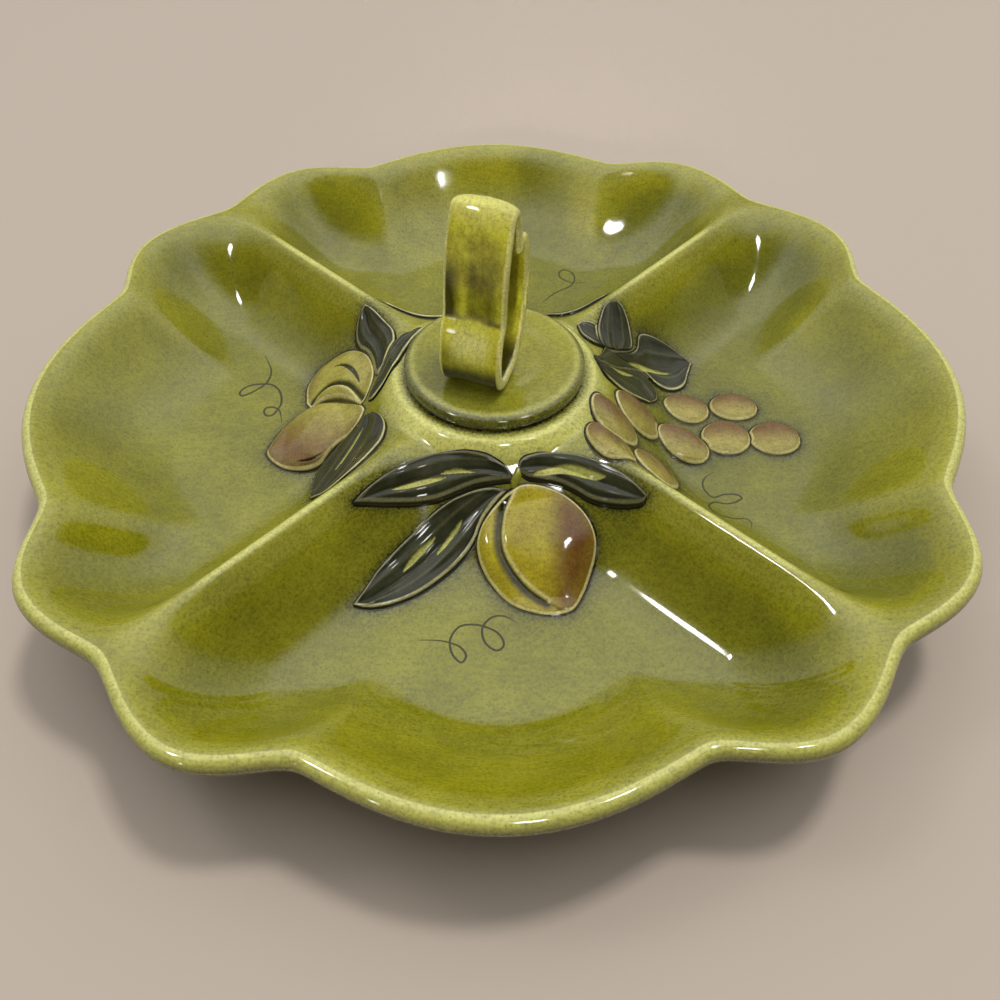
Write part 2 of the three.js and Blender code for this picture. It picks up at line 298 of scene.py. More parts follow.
@dataclass(frozen=True)
class Wash:
    """A colour that a mark on the surface lays over the ones under it."""

    mark: str
    colour: str
    strength: float = 1.0
    # A ragged wash breaks up with the fine spatter; any other follows the soft clouds
    ragged: bool = False

    @property
    def cover(self) -> Pair:
        """Its weakest and strongest cover as that noise varies."""
        low, high = (0.5, 1.3) if self.ragged else (0.82, 1.0)
        return self.strength * low, self.strength * high


@dataclass(frozen=True)
class EarthenwareGlaze:
    """Dip-glazed earthenware: a thick, glossy, coloured lead glaze over a pale cast body.

    It runs thin and yellow on crests, pools dark in hollows, and carries fine iron specks and crazing.
    """

    name: str
    body: str
    cloud: str
    washes: tuple[Wash, ...] = ()
    speck: str = "#2e2706"
    speck_strength: float = 0.6
    cloud_mm: float = 26.0
    # Iron specks are about 0.2 mm; drawn at 0.45 mm so that they show
    speck_mm: float = 0.45
    speck_spacing_mm: float = 1.5
    # Fine spatter between the specks, 0.3 mm across; drawn at 0.9 mm so that it shows
    spatter_mm: float = 0.9
    spatter_strength: float = 0.4
    # Streaks that the dipped glaze leaves as it runs, a few millimetres long and under one wide
    streak_mm: tuple[float, float, float] = (5.0, 1.4, 1.4)
    streak_strength: float = 0.24
    # Crazing lines are hair-fine; drawn 0.15 mm wide so that they show
    craze: str = "#bdb956"
    craze_width_mm: float = 0.15
    craze_cell_mm: float = 3.4
    craze_strength: float = 0.07
    # How far the lines wander, as a share of a cell
    craze_bend: float = 0.6
    # The part of each noise's values, which lie round 0.5, over which its effect comes in
    cloud_range: Pair = (0.36, 0.66)
    wash_range: Pair = (0.3, 0.7)
    spatter_range: Pair = (0.44, 0.72)
    streak_range: Pair = (0.42, 0.74)
    # Chances at which a cell's speck starts to show and shows in full
    speck_range: Pair = (0.35, 0.95)
    ripple_mm: float = 14.0
    ripple_height_mm: float = 0.05
    ior: float = 1.68
    roughness: float = 0.07

    def material(self) -> bpy.types.Material:
        """Builds the material.

        Returns:
            The material.
        """
        made = bpy.data.materials.new(self.name)
        made.use_nodes = True
        tree = made.node_tree
        tree.nodes.clear()
        place = add_node(tree, "ShaderNodeTexCoord").outputs["Object"]
        clouds = add_node(tree, "ShaderNodeTexNoise", {
            "Vector": place, "Scale": 1 / (self.cloud_mm * MM), "Detail": 5.0, "Roughness": 0.62,
        })
        cloudy = add_node(tree, "ShaderNodeMapRange", {
            "Value": clouds.outputs["Fac"], "From Min": self.cloud_range[0], "From Max": self.cloud_range[1],
        })
        grains = add_node(tree, "ShaderNodeTexNoise", {
            "Vector": place, "Scale": 1 / (self.spatter_mm * MM), "Detail": 2.0, "Roughness": 0.6,
        })
        colour = self.mixed(tree, cloudy.outputs["Result"], linear(self.body), linear(self.cloud))
        for wash in self.washes:
            mark = add_node(tree, "ShaderNodeAttribute", attribute_name=wash.mark)
            spread = grains if wash.ragged else clouds
            weakest, strongest = wash.cover
            uneven = add_node(tree, "ShaderNodeMapRange", {
                "Value": spread.outputs["Fac"], "From Min": self.wash_range[0], "From Max": self.wash_range[1],
                "To Min": weakest, "To Max": strongest,
            })
            cover = add_node(tree, "ShaderNodeMath", {
                0: mark.outputs["Fac"], 1: uneven.outputs["Result"],
            }, operation="MULTIPLY", use_clamp=True)
            colour = self.mixed(tree, cover.outputs["Value"], colour, linear(wash.colour))
        colour = self.specked(tree, place, grains.outputs["Fac"], colour)
        surface = add_node(tree, "ShaderNodeBsdfPrincipled", {
            "Base Color": colour, "Roughness": self.roughness, "IOR": self.ior,
            "Normal": self.rippled(tree, place),
        })
        add_node(tree, "ShaderNodeOutputMaterial", {"Surface": surface.outputs["BSDF"]})
        return made

    @staticmethod
    def mixed(tree: bpy.types.NodeTree, share: object, under: object, over: object) -> bpy.types.NodeSocket:
        """Mixes two colours by a share from 0 to 1."""
        mix = add_node(tree, "ShaderNodeMix", {0: share, 6: under, 7: over}, data_type="RGBA")
        return mix.outputs[2]

    def specked(
        self,
        tree: bpy.types.NodeTree,
        place: bpy.types.NodeSocket,
        grain: bpy.types.NodeSocket,
        colour: bpy.types.NodeSocket,
    ) -> bpy.types.NodeSocket:
        """Lays iron specks, spatter, streaks and crazing lines over a colour.

        Args:
            tree: The node tree.
            place: The surface's coordinates.
            grain: The spatter's noise.
            colour: The colour so far.

        Returns:
            The colour with specks and crazing.
        """
        cells = add_node(tree, "ShaderNodeTexVoronoi", {
            "Vector": place, "Scale": 1 / (self.speck_spacing_mm * MM), "Randomness": 1.0,
        })
        radius = self.speck_mm / 2 / self.speck_spacing_mm
        dots = add_node(tree, "ShaderNodeMapRange", {
            "Value": cells.outputs["Distance"], "From Min": radius * 1.5, "From Max": radius * 0.5,
            "To Max": self.speck_strength,
        })
        chance = add_node(tree, "ShaderNodeSeparateColor", {"Color": cells.outputs["Color"]})
        some = add_node(tree, "ShaderNodeMapRange", {
            "Value": chance.outputs["Red"], "From Min": self.speck_range[0], "From Max": self.speck_range[1],
        })
        dotted = add_node(tree, "ShaderNodeMath", {
            0: dots.outputs["Result"], 1: some.outputs["Result"],
        }, operation="MULTIPLY")
        colour = self.mixed(tree, dotted.outputs["Value"], colour, linear(self.speck))
        spatter = add_node(tree, "ShaderNodeMapRange", {
            "Value": grain, "From Min": self.spatter_range[0], "From Max": self.spatter_range[1],
            "To Max": self.spatter_strength,
        })
        colour = self.mixed(tree, spatter.outputs["Result"], colour, linear(self.speck))
        drawn = add_node(tree, "ShaderNodeVectorMath", {
            0: place, 1: tuple(1 / (size * MM) for size in self.streak_mm),
        }, operation="MULTIPLY")
        runs = add_node(tree, "ShaderNodeTexNoise", {
            "Vector": drawn.outputs["Vector"], "Scale": 1.0, "Detail": 3.0, "Roughness": 0.6,
        })
        streaks = add_node(tree, "ShaderNodeMapRange", {
            "Value": runs.outputs["Fac"], "From Min": self.streak_range[0], "From Max": self.streak_range[1],
            "To Max": self.streak_strength,
        })
        colour = self.mixed(tree, streaks.outputs["Result"], colour, linear(self.speck))
        warp = add_node(tree, "ShaderNodeTexNoise", {
            "Vector": place, "Scale": 1 / (self.craze_cell_mm * MM), "Detail": 2.0,
        })
        bent = add_node(tree, "ShaderNodeVectorMath", {
            0: warp.outputs["Color"], 1: (self.craze_cell_mm * MM * self.craze_bend,) * 3, 2: place,
        }, operation="MULTIPLY_ADD")
        cracks = add_node(tree, "ShaderNodeTexVoronoi", {
            "Vector": bent.outputs["Vector"], "Scale": 1 / (self.craze_cell_mm * MM),
        }, feature="DISTANCE_TO_EDGE")
        hair = self.craze_width_mm / self.craze_cell_mm
        lines = add_node(tree, "ShaderNodeMapRange", {
            "Value": cracks.outputs["Distance"], "From Min": hair, "From Max": hair * 0.2,
            "To Max": self.craze_strength,
        })
        return self.mixed(tree, lines.outputs["Result"], colour, linear(self.craze))

    def rippled(self, tree: bpy.types.NodeTree, place: bpy.types.NodeSocket) -> bpy.types.NodeSocket:
        """Gives the surface the slight waviness that a run glaze has.

        Args:
            tree: The node tree.
            place: The surface's coordinates.

        Returns:
            The wavy normal.
        """
        waves = add_node(tree, "ShaderNodeTexNoise", {
            "Vector": place, "Scale": 1 / (self.ripple_mm * MM), "Detail": 2.0, "Roughness": 0.45,
        })
        bump = add_node(tree, "ShaderNodeBump", {
            "Height": waves.outputs["Fac"], "Distance": self.ripple_height_mm * MM, "Strength": 1.0,
        })
        return bump.outputs["Normal"]


# Olive glaze, dipped and run: yellow where it drew thin on crests, dull green where it gathered, near black
# where shade is painted
TRAY_GLAZE = EarthenwareGlaze(
    name="earthenware_olive_glaze",
    body="#95921a",
    cloud="#7e7c12",
    washes=(
        # Pooled glaze on the tray; on the lid this wash is a painted shadow of the handle
        Wash("pool", "#5e6019", 0.75),
        Wash("thin", "#cfcd70", 0.95),
        # Near black: painted shade with pooled glaze round the sprigs, and painted shade in the lid's seat,
        # under the lip and under the lid's edge
        Wash("halo", "#12140a", 0.9, ragged=True),
    ),
)

# The same glaze on a hand-pulled strap, painted brighter than the tray's as painted light on its front face:
# mottled, brown where it gathered, with open crazing
HANDLE_GLAZE = EarthenwareGlaze(
    name="earthenware_olive_glaze_mottled_painted_lighter",
    body="#cec938",
    cloud="#a8a020",
    cloud_mm=7.0,
    spatter_strength=0.25,
    craze="#2e2706",
    craze_cell_mm=2.6,
    craze_strength=0.22,
    streak_mm=(1.2, 1.2, 10.0),
    ior=1.48,
    # Crease: near-black painted shade with pooled glaze in the pinch and round the foot; thin: thin glaze, with
    # painted light on the bulge under the pinch
    washes=(Wash("pool", "#332e05", 1.15), Wash("crease", "#0a0902", 1.2), Wash("thin", "#d2ce7c", 1.0)),
)

# Black-green brushed under the clear glaze: near-black leaves with faint ribs, and pale edges where the glaze
# wore thin, brightened with painted highlight
LEAF_GLAZE = EarthenwareGlaze(
    name="earthenware_black_green_underglaze",
    body="#27291a",
    cloud="#3b3d2d",
    cloud_mm=7.0,
    craze_strength=0.0,
    speck_strength=0.3,
    ripple_mm=6.0,
    ior=1.42,
    washes=(
        Wash("rib", "#5a5b3c", 0.55),
        Wash("shade", "#15160c", 0.85),
        Wash("edge", "#d4ce94", 0.9),
        Wash("slit", "#b5b45c", 1.0),
        Wash("foot", "#0e0f06", 1.0),
    ),
)

# On every fruit: dark glaze and painted shade in the creases and round the foot, pale where the edge wore thin
FRUIT_WASHES = (
    Wash("crease", "#0f0d03", 1.05),
    Wash("edge", "#d4ca88", 1.0),
    Wash("foot", "#0e0f06", 1.0),
)

# Golden underglaze with brown sponged over one cheek, so that the peach looks ripe and round
PEACH_GLAZE = EarthenwareGlaze(
    name="earthenware_peach_underglaze",
    body="#aa9d22",
    cloud="#948420",
    cloud_mm=9.0,
    craze_strength=0.05,
    ior=1.5,
    # The round wash is painted shade, darker towards the peach's border
    washes=(Wash("blush", "#5f3a17", 1.0), Wash("round", "#8a7c1c", 0.3), *FRUIT_WASHES),
)

# Buff underglaze under a soft red-brown blush, duller than the peach
PEAR_GLAZE = EarthenwareGlaze(
    name="earthenware_pear_underglaze",
    body="#b4ac54",
    cloud="#a09644",
    cloud_mm=9.0,
    craze_strength=0.05,
    ior=1.5,
    # The round wash is painted shade, darker towards the pear's border
    washes=(Wash("blush", "#6e4c30", 0.95), Wash("round", "#6d5c22", 0.4), *FRUIT_WASHES),
)

# Buff underglaze, red-brown towards one side of each grape, which sets the grapes apart
GRAPE_GLAZE = EarthenwareGlaze(
    name="earthenware_grape_underglaze",
    body="#a4984a",
    cloud="#8f823a",
    cloud_mm=8.0,
    craze_strength=0.05,
    ior=1.5,
    washes=(Wash("blush", "#6f4f35", 1.0), *FRUIT_WASHES),
)

# Olive underglaze close to the tray's own, a little browner on one cheek
APPLE_GLAZE = EarthenwareGlaze(
    name="earthenware_apple_underglaze",
    body="#8c8c26",
    cloud="#7b7b1a",
    cloud_mm=10.0,
    craze_strength=0.05,
    # The round wash is painted shade, darker towards the apple's border
    washes=(Wash("blush", "#6b5a1d", 0.7), Wash("round", "#56560f", 0.5), *FRUIT_WASHES),
)

# Dark slip trailed in a thin line, which dries dull and looks drawn on
TENDRIL_GLAZE = EarthenwareGlaze(
    name="earthenware_olive_brown_line",
    body="#2f3008",
    cloud="#272806",
    craze_strength=0.0,
    speck_strength=0.0,
    roughness=0.5,
)

FINISH_OF_SLOT = {
    Slot.LEAF: LEAF_GLAZE,
    Slot.PEACH: PEACH_GLAZE,
    Slot.PEAR: PEAR_GLAZE,
    Slot.GRAPE: GRAPE_GLAZE,
    Slot.APPLE: APPLE_GLAZE,
}


class Palette:
    """Makes each finish's material once."""

    def __init__(self) -> None:
        """Starts with no materials."""
        self.made: dict[str, bpy.types.Material] = {}

    def dress(
        self,
        piece: bpy.types.Object,
        finish: EarthenwareGlaze,
        slot: Slot,
        body: Body,
        *nodes: str,
    ) -> None:
        """Gives a piece its finish and its body, and hides the frame nodes that it stands for.

        Args:
            piece: The piece.
            finish: Its finish.
            slot: The record's slot; not used.
            body: The body that it rides on.
            *nodes: Frame nodes that it replaces.
        """
        if finish.name not in self.made:
            self.made[finish.name] = finish.material()
        piece.data.materials.append(self.made[finish.name])
        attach(piece, body.value)
        if nodes:
            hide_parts(*nodes)
        LOG.info("%s: %d points, finish %s", piece.name, len(piece.data.vertices), finish.name)


# The tray


@dataclass(frozen=True)
class TrayForm:
    """Sizes of the tray's cast form, and the surface that they give."""

    foot_height: float = 8.0
    floor: float = 15.0
    rim: float = 45.0
    seat: float = 48.5
    mid_lobe: float = 165.0
    corner_lobe: float = 169.5
    valley: float = 156.0
    notch: float = 161.0
    valley_turn: float = 20.5
    corner_turn: float = 32.5
    mid_fullness: float = 0.6
    corner_fullness: float = 0.7
    # The glaze and the casting round the valleys between lobes off over this turn
    valley_rounding: float = 1.1
    lip: float = 4.0
    wall_run: float = 38.0
    wall_curve: float = 1.6
    divider_softness: float = 3.2
    divider_run: float = 30.0
    scoop_curve: float = 2.0
    land: float = 34.5
    collar_rounding: float = 6.0
    collar_run: float = 40.0
    outline_steps: int = 1801

    @property
    def collar_edge(self) -> float:
        """Radius where the collar meets the compartments."""
        return self.land + self.collar_rounding

    @staticmethod
    def bulge(share: np.ndarray, fullness: float) -> np.ndarray:
        """Rise of a lobe, from 1 at its tip to 0 in the valley beside it."""
        return ((1 + np.cos(np.pi * np.clip(share, 0.0, 1.0))) / 2) ** fullness

    def lobes(self, angle: np.ndarray) -> np.ndarray:
        """Draws the outline before its valleys are rounded off.

        Args:
            angle: Angles from +X, in radians.

        Returns:
            The outline's radius at each angle.
        """
        turn = np.abs(np.degrees(angle) % QUARTER)
        turn = np.minimum(turn, QUARTER - turn)
        inner = (self.corner_turn - turn) / (self.corner_turn - self.valley_turn)
        outer = (turn - self.corner_turn) / (QUARTER / 2 - self.corner_turn)
        middle, before, beyond = (
            low + (tip - low) * self.bulge(share, fullness)
            for low, tip, share, fullness in (
                (self.valley, self.mid_lobe, turn / self.valley_turn, self.mid_fullness),
                (self.valley, self.corner_lobe, inner, self.corner_fullness),
                (self.notch, self.corner_lobe, outer, self.corner_fullness),
            )
        )
        return np.where(turn < self.valley_turn, middle, np.where(turn < self.corner_turn, before, beyond))

    def outline(self, angle: np.ndarray) -> np.ndarray:
        """Radius of the tray's outline at an angle from +X, in radians."""
        return np.interp(np.degrees(angle) % QUARTER, *self.rounded)

    @cached_property
    def rounded(self) -> tuple[np.ndarray, np.ndarray]:
        """Averages the lobes over a few degrees, which rounds off the valleys.

        Returns:
            Turns over a quarter of the tray, and the outline's radius at each.
        """
        turns = np.linspace(0.0, QUARTER, self.outline_steps)
        # A bell-shaped average that reaches twice the rounding each way
        shifts = np.linspace(-2.0, 2.0, 9)
        weights = np.exp(-shifts ** 2)
        step = self.valley_rounding
        shifted = [w * self.lobes(np.radians(turns + s * step)) for s, w in zip(shifts, weights)]
        return turns, sum(shifted) / weights.sum()

    @staticmethod
    def slope(distance: np.ndarray, softness: float, run: float, curve: float) -> np.ndarray:
        """A slope that falls from 1 at a rounded crest to 0 where its run ends."""
        return np.clip(1 - (np.hypot(distance, softness) - softness) / run, 0.0, 1.0) ** curve

    def wall(self, inset: np.ndarray) -> np.ndarray:
        """Share of the wall's height at a distance in from the lip's crest."""
        return self.slope(np.maximum(inset, 0.0), self.lip, self.wall_run, self.wall_curve)

    def height(self, x: np.ndarray, y: np.ndarray) -> np.ndarray:
        """Shapes the tray's upper surface outside the collar's land.

        Args:
            x: X of the points.
            y: Y of the points.

        Returns:
            The surface's height at each.
        """
        angle = np.arctan2(y, x)
        radius = np.hypot(x, y)
        wall = self.wall(self.outline(angle) - self.lip - radius)
        aside = radius * np.abs(np.sin(np.radians(np.degrees(angle) % QUARTER - QUARTER / 2)))
        divider = self.slope(aside, self.divider_softness, self.divider_run, self.scoop_curve)
        outward = np.maximum(radius - self.land, 0.0)
        collar = self.slope(outward, self.collar_rounding, self.collar_run, self.scoop_curve)
        ring = (1 + np.cos(np.pi * np.minimum(outward / self.collar_rounding, 1.0))) / 2
        filled = 1 - (1 - wall) * (1 - divider) * (1 - collar)
        return self.floor + (self.rim - self.floor) * filled + (self.seat - self.rim) * ring

    def bend(self, x: np.ndarray, y: np.ndarray, reach: float) -> np.ndarray:
        """Measures how sharply the upper surface bends.

        Args:
            x: X of the points.
            y: Y of the points.
            reach: Distance over which to look.

        Returns:
            A number above 0 on crests and below 0 in hollows.
        """
        ways = np.linspace(0.0, 2 * math.pi, 8, endpoint=False)
        around = sum(self.height(x + reach * math.cos(way), y + reach * math.sin(way)) for way in ways)
        return (self.height(x, y) - around / len(ways)) * 4 / reach ** 2

    def spot(self, side: Side, across: np.ndarray, out: np.ndarray) -> tuple[np.ndarray, np.ndarray]:
        """X and Y of a spot given across a compartment and out from the collar's edge."""
        return side.place(np.asarray(across, float), self.collar_edge + np.asarray(out, float))


@dataclass
class Tray:
    """The cast tray: compartments, dividers, collar, centre well and foot ring in one."""

    form: TrayForm
    well_radius: float = 26.0
    well_fillet: float = 6.0
    mouth_edge: float = 1.0
    well_radii: Pair = (7.0, 14.0)
    land_radius: float = 30.5
    foot_outer: float = 104.0
    foot_inner: float = 97.0
    foot_edge: float = 1.2
    under_radii: Pair = (60.0, 20.0)
    angle_steps: int = 800
    collar_rings: int = 10
    floor_rings: int = 170
    lip_rings: int = 30
    wall_rings: int = 22
    divider_crowding: float = 0.6
    # Distances over which the surface's bend shows a crest and a wide hollow
    crest_reach: float = 2.0
    hollow_reach: float = 7.0
    # Reach of the painted shade and pooled glaze round the sprigs
    shaded_outline_reach: float = 1.5
    # Radii where the painted shade and dark glaze round the sprigs on the collar start and are full
    collar_fade: Pair = (42.0, 52.0)

    def angles(self) -> np.ndarray:
        """Angles of the rings' points, crowded towards the dividers."""
        even = np.linspace(0.0, 2 * math.pi, self.angle_steps, endpoint=False)
        return even + self.divider_crowding / 4 * np.sin(4 * even)

    def well_profile(self) -> list[Pair]:
        """Draws the well, from its floor up to the collar's land.

        Returns:
            Radius and height of each ring.
        """
        form = self.form
        floor = [(radius, form.floor) for radius in self.well_radii]
        bottom = [
            (self.well_radius - self.well_fillet * (1 - math.sin(tilt)),
             form.floor + self.well_fillet * (1 - math.cos(tilt)))
            for tilt in np.radians(np.linspace(0, 90, 9))
        ]
        deep = form.seat - form.floor
        wall = [(self.well_radius, form.floor + deep * share) for share in (0.4, 0.65, 0.85)]
        mouth = [
            (self.well_radius + self.mouth_edge * (1 - math.cos(tilt)),
             form.seat - self.mouth_edge * (1 - math.sin(tilt)))
            for tilt in np.radians(np.linspace(0, 90, 5))
        ]
        return [*floor, *bottom, *wall, *mouth, (self.land_radius, form.seat)]

    def foot_profile(self) -> list[Pair]:
        """Draws the foot ring and the underside inside it.

        Returns:
            Radius and height of each ring.
        """
        level = self.form.foot_height
        edge = self.foot_edge
        quarter = np.radians(np.linspace(0, 90, 4))
        outer = [(self.foot_outer - edge * (1 - math.cos(t)), edge * (1 - math.sin(t))) for t in quarter]
        inner = [(self.foot_inner + edge * (1 - math.sin(t)), edge * (1 - math.cos(t))) for t in quarter]
        return [
            (self.foot_outer + edge, level), (self.foot_outer, level - edge), *outer, *inner,
            (self.foot_inner, level - edge), (self.foot_inner - edge, level),
            *((radius, level) for radius in self.under_radii),
        ]

    def upper_ring(self, radius: np.ndarray, angle: np.ndarray) -> Ring:
        """Draws a ring of the upper surface, with where its glaze ran thin and where it pooled.

        Args:
            radius: The ring's radius at each angle.
            angle: The angles.

        Returns:
            The ring.
        """
        form = self.form
        x, y = radius * np.cos(angle), radius * np.sin(angle)
        height = form.height(x, y)
        crest, swell = (form.bend(x, y, reach) for reach in (self.crest_reach, self.hollow_reach))
        # Thin on sharp crests and over the collar, and a little on every swell
        thin = np.maximum.reduce([
            soft_step(0.38, 0.6, crest),
            0.2 * soft_step(0.06, 0.32, crest),
            0.15 * soft_step(0.0, 0.1, swell),
            soft_step(form.collar_edge + 2.0, form.collar_edge - 3.0, radius),
        ])
        # The glaze ran a little thicker towards the back right as the dipped tray drained
        drift = soft_step(-30.0, 100.0, x + 0.25 * y)
        pooled = np.maximum(
            soft_step(0.0, 0.07, -swell) * (0.6 + 0.4 * drift),
            soft_step(30.0, 17.0, height) * (0.5 + 0.45 * drift),
        )
        return radius, height, thin, pooled

    def build(self, footprints: Sequence[np.ndarray]) -> bpy.types.Object:
        """Builds the tray.

        Args:
            footprints: Outlines in plan of the sprigs that sit on it.

        Returns:
            The tray's object.
        """
        form = self.form
        angle = self.angles()
        crest = form.outline(angle) - form.lip
        # The well, the underside and the foot are glazed evenly
        rings: list[Ring] = [(radius, height, 0.15, 0.3) for radius, height in self.well_profile()]
        for radius in np.linspace(form.land, form.collar_edge, self.collar_rings):
            rings.append(self.upper_ring(np.full_like(angle, radius), angle))
        for share in np.linspace(0.0, 1.0, self.floor_rings)[1:]:
            rings.append(self.upper_ring(form.collar_edge + (crest - form.collar_edge) * share, angle))
        # Over the lip the glaze is thin on top, thicker outside and thin again underneath
        for turn in np.linspace(6, 180, self.lip_rings):
            out, up = form.lip * math.sin(math.radians(turn)), form.lip * math.cos(math.radians(turn))
            worn = 1.0 - 0.75 * soft_step(30.0, 75.0, turn) + 0.7 * soft_step(126.0, 134.0, turn)
            rings.append((crest + out, form.rim - form.lip + up, worn, 0.3))
        under = form.rim - 2 * form.lip - form.foot_height
        for inset in np.linspace(1.5, form.wall_run + 3, self.wall_rings):
            rings.append((crest - inset, form.foot_height + under * form.wall(inset), 0.15, 0.2))
        rings += [(radius, height, 0.2, 0.2) for radius, height in self.foot_profile()]
        table = np.array([np.broadcast_arrays(*ring, angle)[:-1] for ring in rings])
        radii, heights, thin, pool = np.moveaxis(table, 1, 0)
        loops = np.dstack([radii * np.cos(angle), radii * np.sin(angle), heights])
        marks = {"thin": thin, "pool": pool, "halo": self.halo(loops, footprints)}
        return Shell.loft(loops, marks).to_object("tray_body")

    def halo(self, loops: np.ndarray, footprints: Sequence[np.ndarray]) -> np.ndarray:
        """How much painted shade and pooled dark glaze lies round the sprigs, in the lid's seat and under the
        lip, at each point of the tray.

        Args:
            loops: The tray's points.
            footprints: Outlines in plan of the sprigs.

        Returns:
            A number from 0 to 1 for each point.
        """
        points = loops.reshape(-1, 3)
        pooled = np.zeros(len(points))
        upper = points[:, 2] > self.form.floor - 0.5
        reach = 8 * self.shaded_outline_reach
        for line in footprints:
            low, high = line.min(0) - reach, line.max(0) + reach
            near = upper & (points[:, :2] > low).all(1) & (points[:, :2] < high).all(1)
            gap = distance_to_line(points[near][:, :2], np.vstack([line, line[:1]]))
            # Painted shade and pooled glaze, dark close to the sprig, in a cloud that thins out over four times
            # that reach
            dark = 0.75 * np.exp(-(gap / self.shaded_outline_reach)) + 0.4 * np.exp(-(gap / (4 * self.shaded_outline_reach)))
            pooled[near] = np.maximum(pooled[near], dark * soft_step(reach, 0.6 * reach, gap))
        radius = np.linalg.norm(points[:, :2], axis=1)
        pooled *= 0.25 + 0.75 * soft_step(*self.collar_fade, radius)
        # Painted shade with pooled glaze in a dark ring in the lid's seat, under the lid's edge, and painted
        # shade in a dark line under the lip
        on_land = points[:, 2] > self.form.seat - 0.5
        seat = on_land * soft_step(27.0, 28.0, radius) * soft_step(34.5, 32.5, radius)
        drop = np.maximum(self.form.rim - points[:, 2], 0.0)
        outer = radius > self.form.outline(np.arctan2(points[:, 1], points[:, 0])) - self.form.lip
        lip = outer * 0.55 * soft_step(2.4, 3.6, drop) * soft_step(6.9, 6.3, drop)
        pooled = np.maximum.reduce([pooled, seat, lip])
        return pooled.reshape(loops.shape[:2])


# Sprigs


def inside(points: np.ndarray, outline: np.ndarray) -> np.ndarray:
    """Finds which points lie inside a closed outline, in plan.

    Args:
        points: The points, one to a row.
        outline: The outline's corners, one to a row.

    Returns:
        Whether each point is inside.
    """
    held = np.zeros(len(points), bool)
    for start, end in zip(outline, np.roll(outline, -1, axis=0)):
        spans = (start[1] > points[:, 1]) != (end[1] > points[:, 1])
        rise = end[1] - start[1] or 1e-9
        crossing = start[0] + (points[:, 1] - start[1]) / rise * (end[0] - start[0])
        held ^= spans & (points[:, 0] < crossing)
    return held


def depth_inside(points: np.ndarray, outline: np.ndarray) -> np.ndarray:
    """Distance in plan to a closed outline, above 0 inside it and below 0 outside."""
    gap = distance_to_line(points, np.vstack([outline, outline[:1]]))
    return np.where(inside(points, outline), gap, -gap)


@dataclass(frozen=True)
class Groove:
    """A line pressed into a sprig, through points across the compartment and out from the collar."""

    points: tuple[Pair, ...]
    half: float
    steps: int = 48

    def line(self, form: TrayForm, side: Side) -> np.ndarray:
        """The groove's middle line in plan."""
        return smooth_line([form.spot(side, *point) for point in self.points], self.steps)

    def cover(self, plan: np.ndarray, form: TrayForm, side: Side) -> np.ndarray:
        """Spreads the groove as a slit that tapers to both ends.

        Args:
            plan: Points in plan, one to a row.
            form: The tray under it.
            side: The compartment.

        Returns:
            How much of the slit lies at each point, from 0 to 1.
        """
        line = self.line(form, side)
        halves = self.half * np.sin(np.linspace(0.06, math.pi - 0.06, len(line))) ** 0.7
        nearest = np.full(len(plan), np.inf)
        for spot, half in zip(line, halves):
            nearest = np.minimum(nearest, np.linalg.norm(plan - spot, axis=1) / half)
        return soft_step(1.15, 0.8, nearest)

    def beside(self, plan: np.ndarray, form: TrayForm, side: Side) -> np.ndarray:
        """Measures how far points lie from the groove, and on which side.

        Args:
            plan: Points in plan, one to a row.
            form: The tray under it.
            side: The compartment.

        Returns:
            The distance from each point, above 0 on the groove's left going along it.
        """
        line = self.line(form, side)
        best = np.full(len(plan), np.inf)
        signed = np.zeros(len(plan))
        for start, end in zip(line, line[1:]):
            way = end - start
            share = np.clip((plan - start) @ way / (way @ way), 0.0, 1.0)
            off = plan - start - share[:, None] * way
            gap = np.linalg.norm(off, axis=1)
            left = way[0] * (plan[:, 1] - start[1]) - way[1] * (plan[:, 0] - start[0])
            signed = np.where(gap < best, np.sign(left) * gap, signed)
            best = np.minimum(best, gap)
        return signed


@dataclass(frozen=True)
class Relief:
    """How every sprig rises from the tray: a film of pooled glaze round it, painted dark with shade as well,
    then a rounded edge.
    """

    film: float = 0.9
    film_rise: float = 0.09
    root: float = 0.5
    # The hidden underside lies this much deeper than the film's root
    bed: float = 0.4
    rounding: float = 1.1
    # A sprig runs this far in under one that lies over it
    tuck: float = 0.1

    def cut_back(self, edge: np.ndarray, plan: np.ndarray, covers: Sequence[np.ndarray]) -> np.ndarray:
        """Cuts a sprig off a little way in under the ones that lie over it.

        Args:
            edge: Distance of each point in from the sprig's own edge.
            plan: The points in plan, one to a row.
            covers: Outlines of the sprigs over it.

        Returns:
            Distance of each point in from the edge that is left.
        """
        for cover in covers:
            edge = np.minimum(edge, self.film + self.tuck - depth_inside(plan, cover))
        return edge

    def body(self, edge: np.ndarray) -> np.ndarray:
        """Share of the sprig's height at a distance in from the film's outer edge."""
        return np.sqrt(np.clip(1 - (1 - np.clip((edge - self.film) / self.rounding, 0, 1)) ** 2, 0, 1))

    def rise(self, edge: np.ndarray, height: np.ndarray) -> np.ndarray:
        """Height over the tray, where height is that of the sprig away from its edge."""
        film = -self.root + (self.root + self.film_rise) * soft_step(0.0, 0.5, edge)
        return film + (height - self.film_rise) * self.body(edge)

    def marks(self, edge: np.ndarray) -> dict[str, np.ndarray]:
        """Marks the dark film of pooled glaze and painted shade, the pale line of thin glaze along the edge,
        and the rounded border's painted shade.

        Args:
            edge: Distance in from the film's outer edge.

        Returns:
            The film, the pale line and the rounded border, each from 0 to 1.
        """
        start = self.film
        return {
            # Pooled glaze and painted shade at the foot
            "foot": soft_step(start + 0.4, start + 0.15, edge),
            "edge": soft_step(start + 0.15, start + 0.35, edge) * soft_step(start + 1.15, start + 0.75, edge),
            # Painted shade, darker towards the border where the sprig rounds off
            "round": soft_step(start + 5.0, start + 1.2, edge),
        }


RELIEF = Relief()


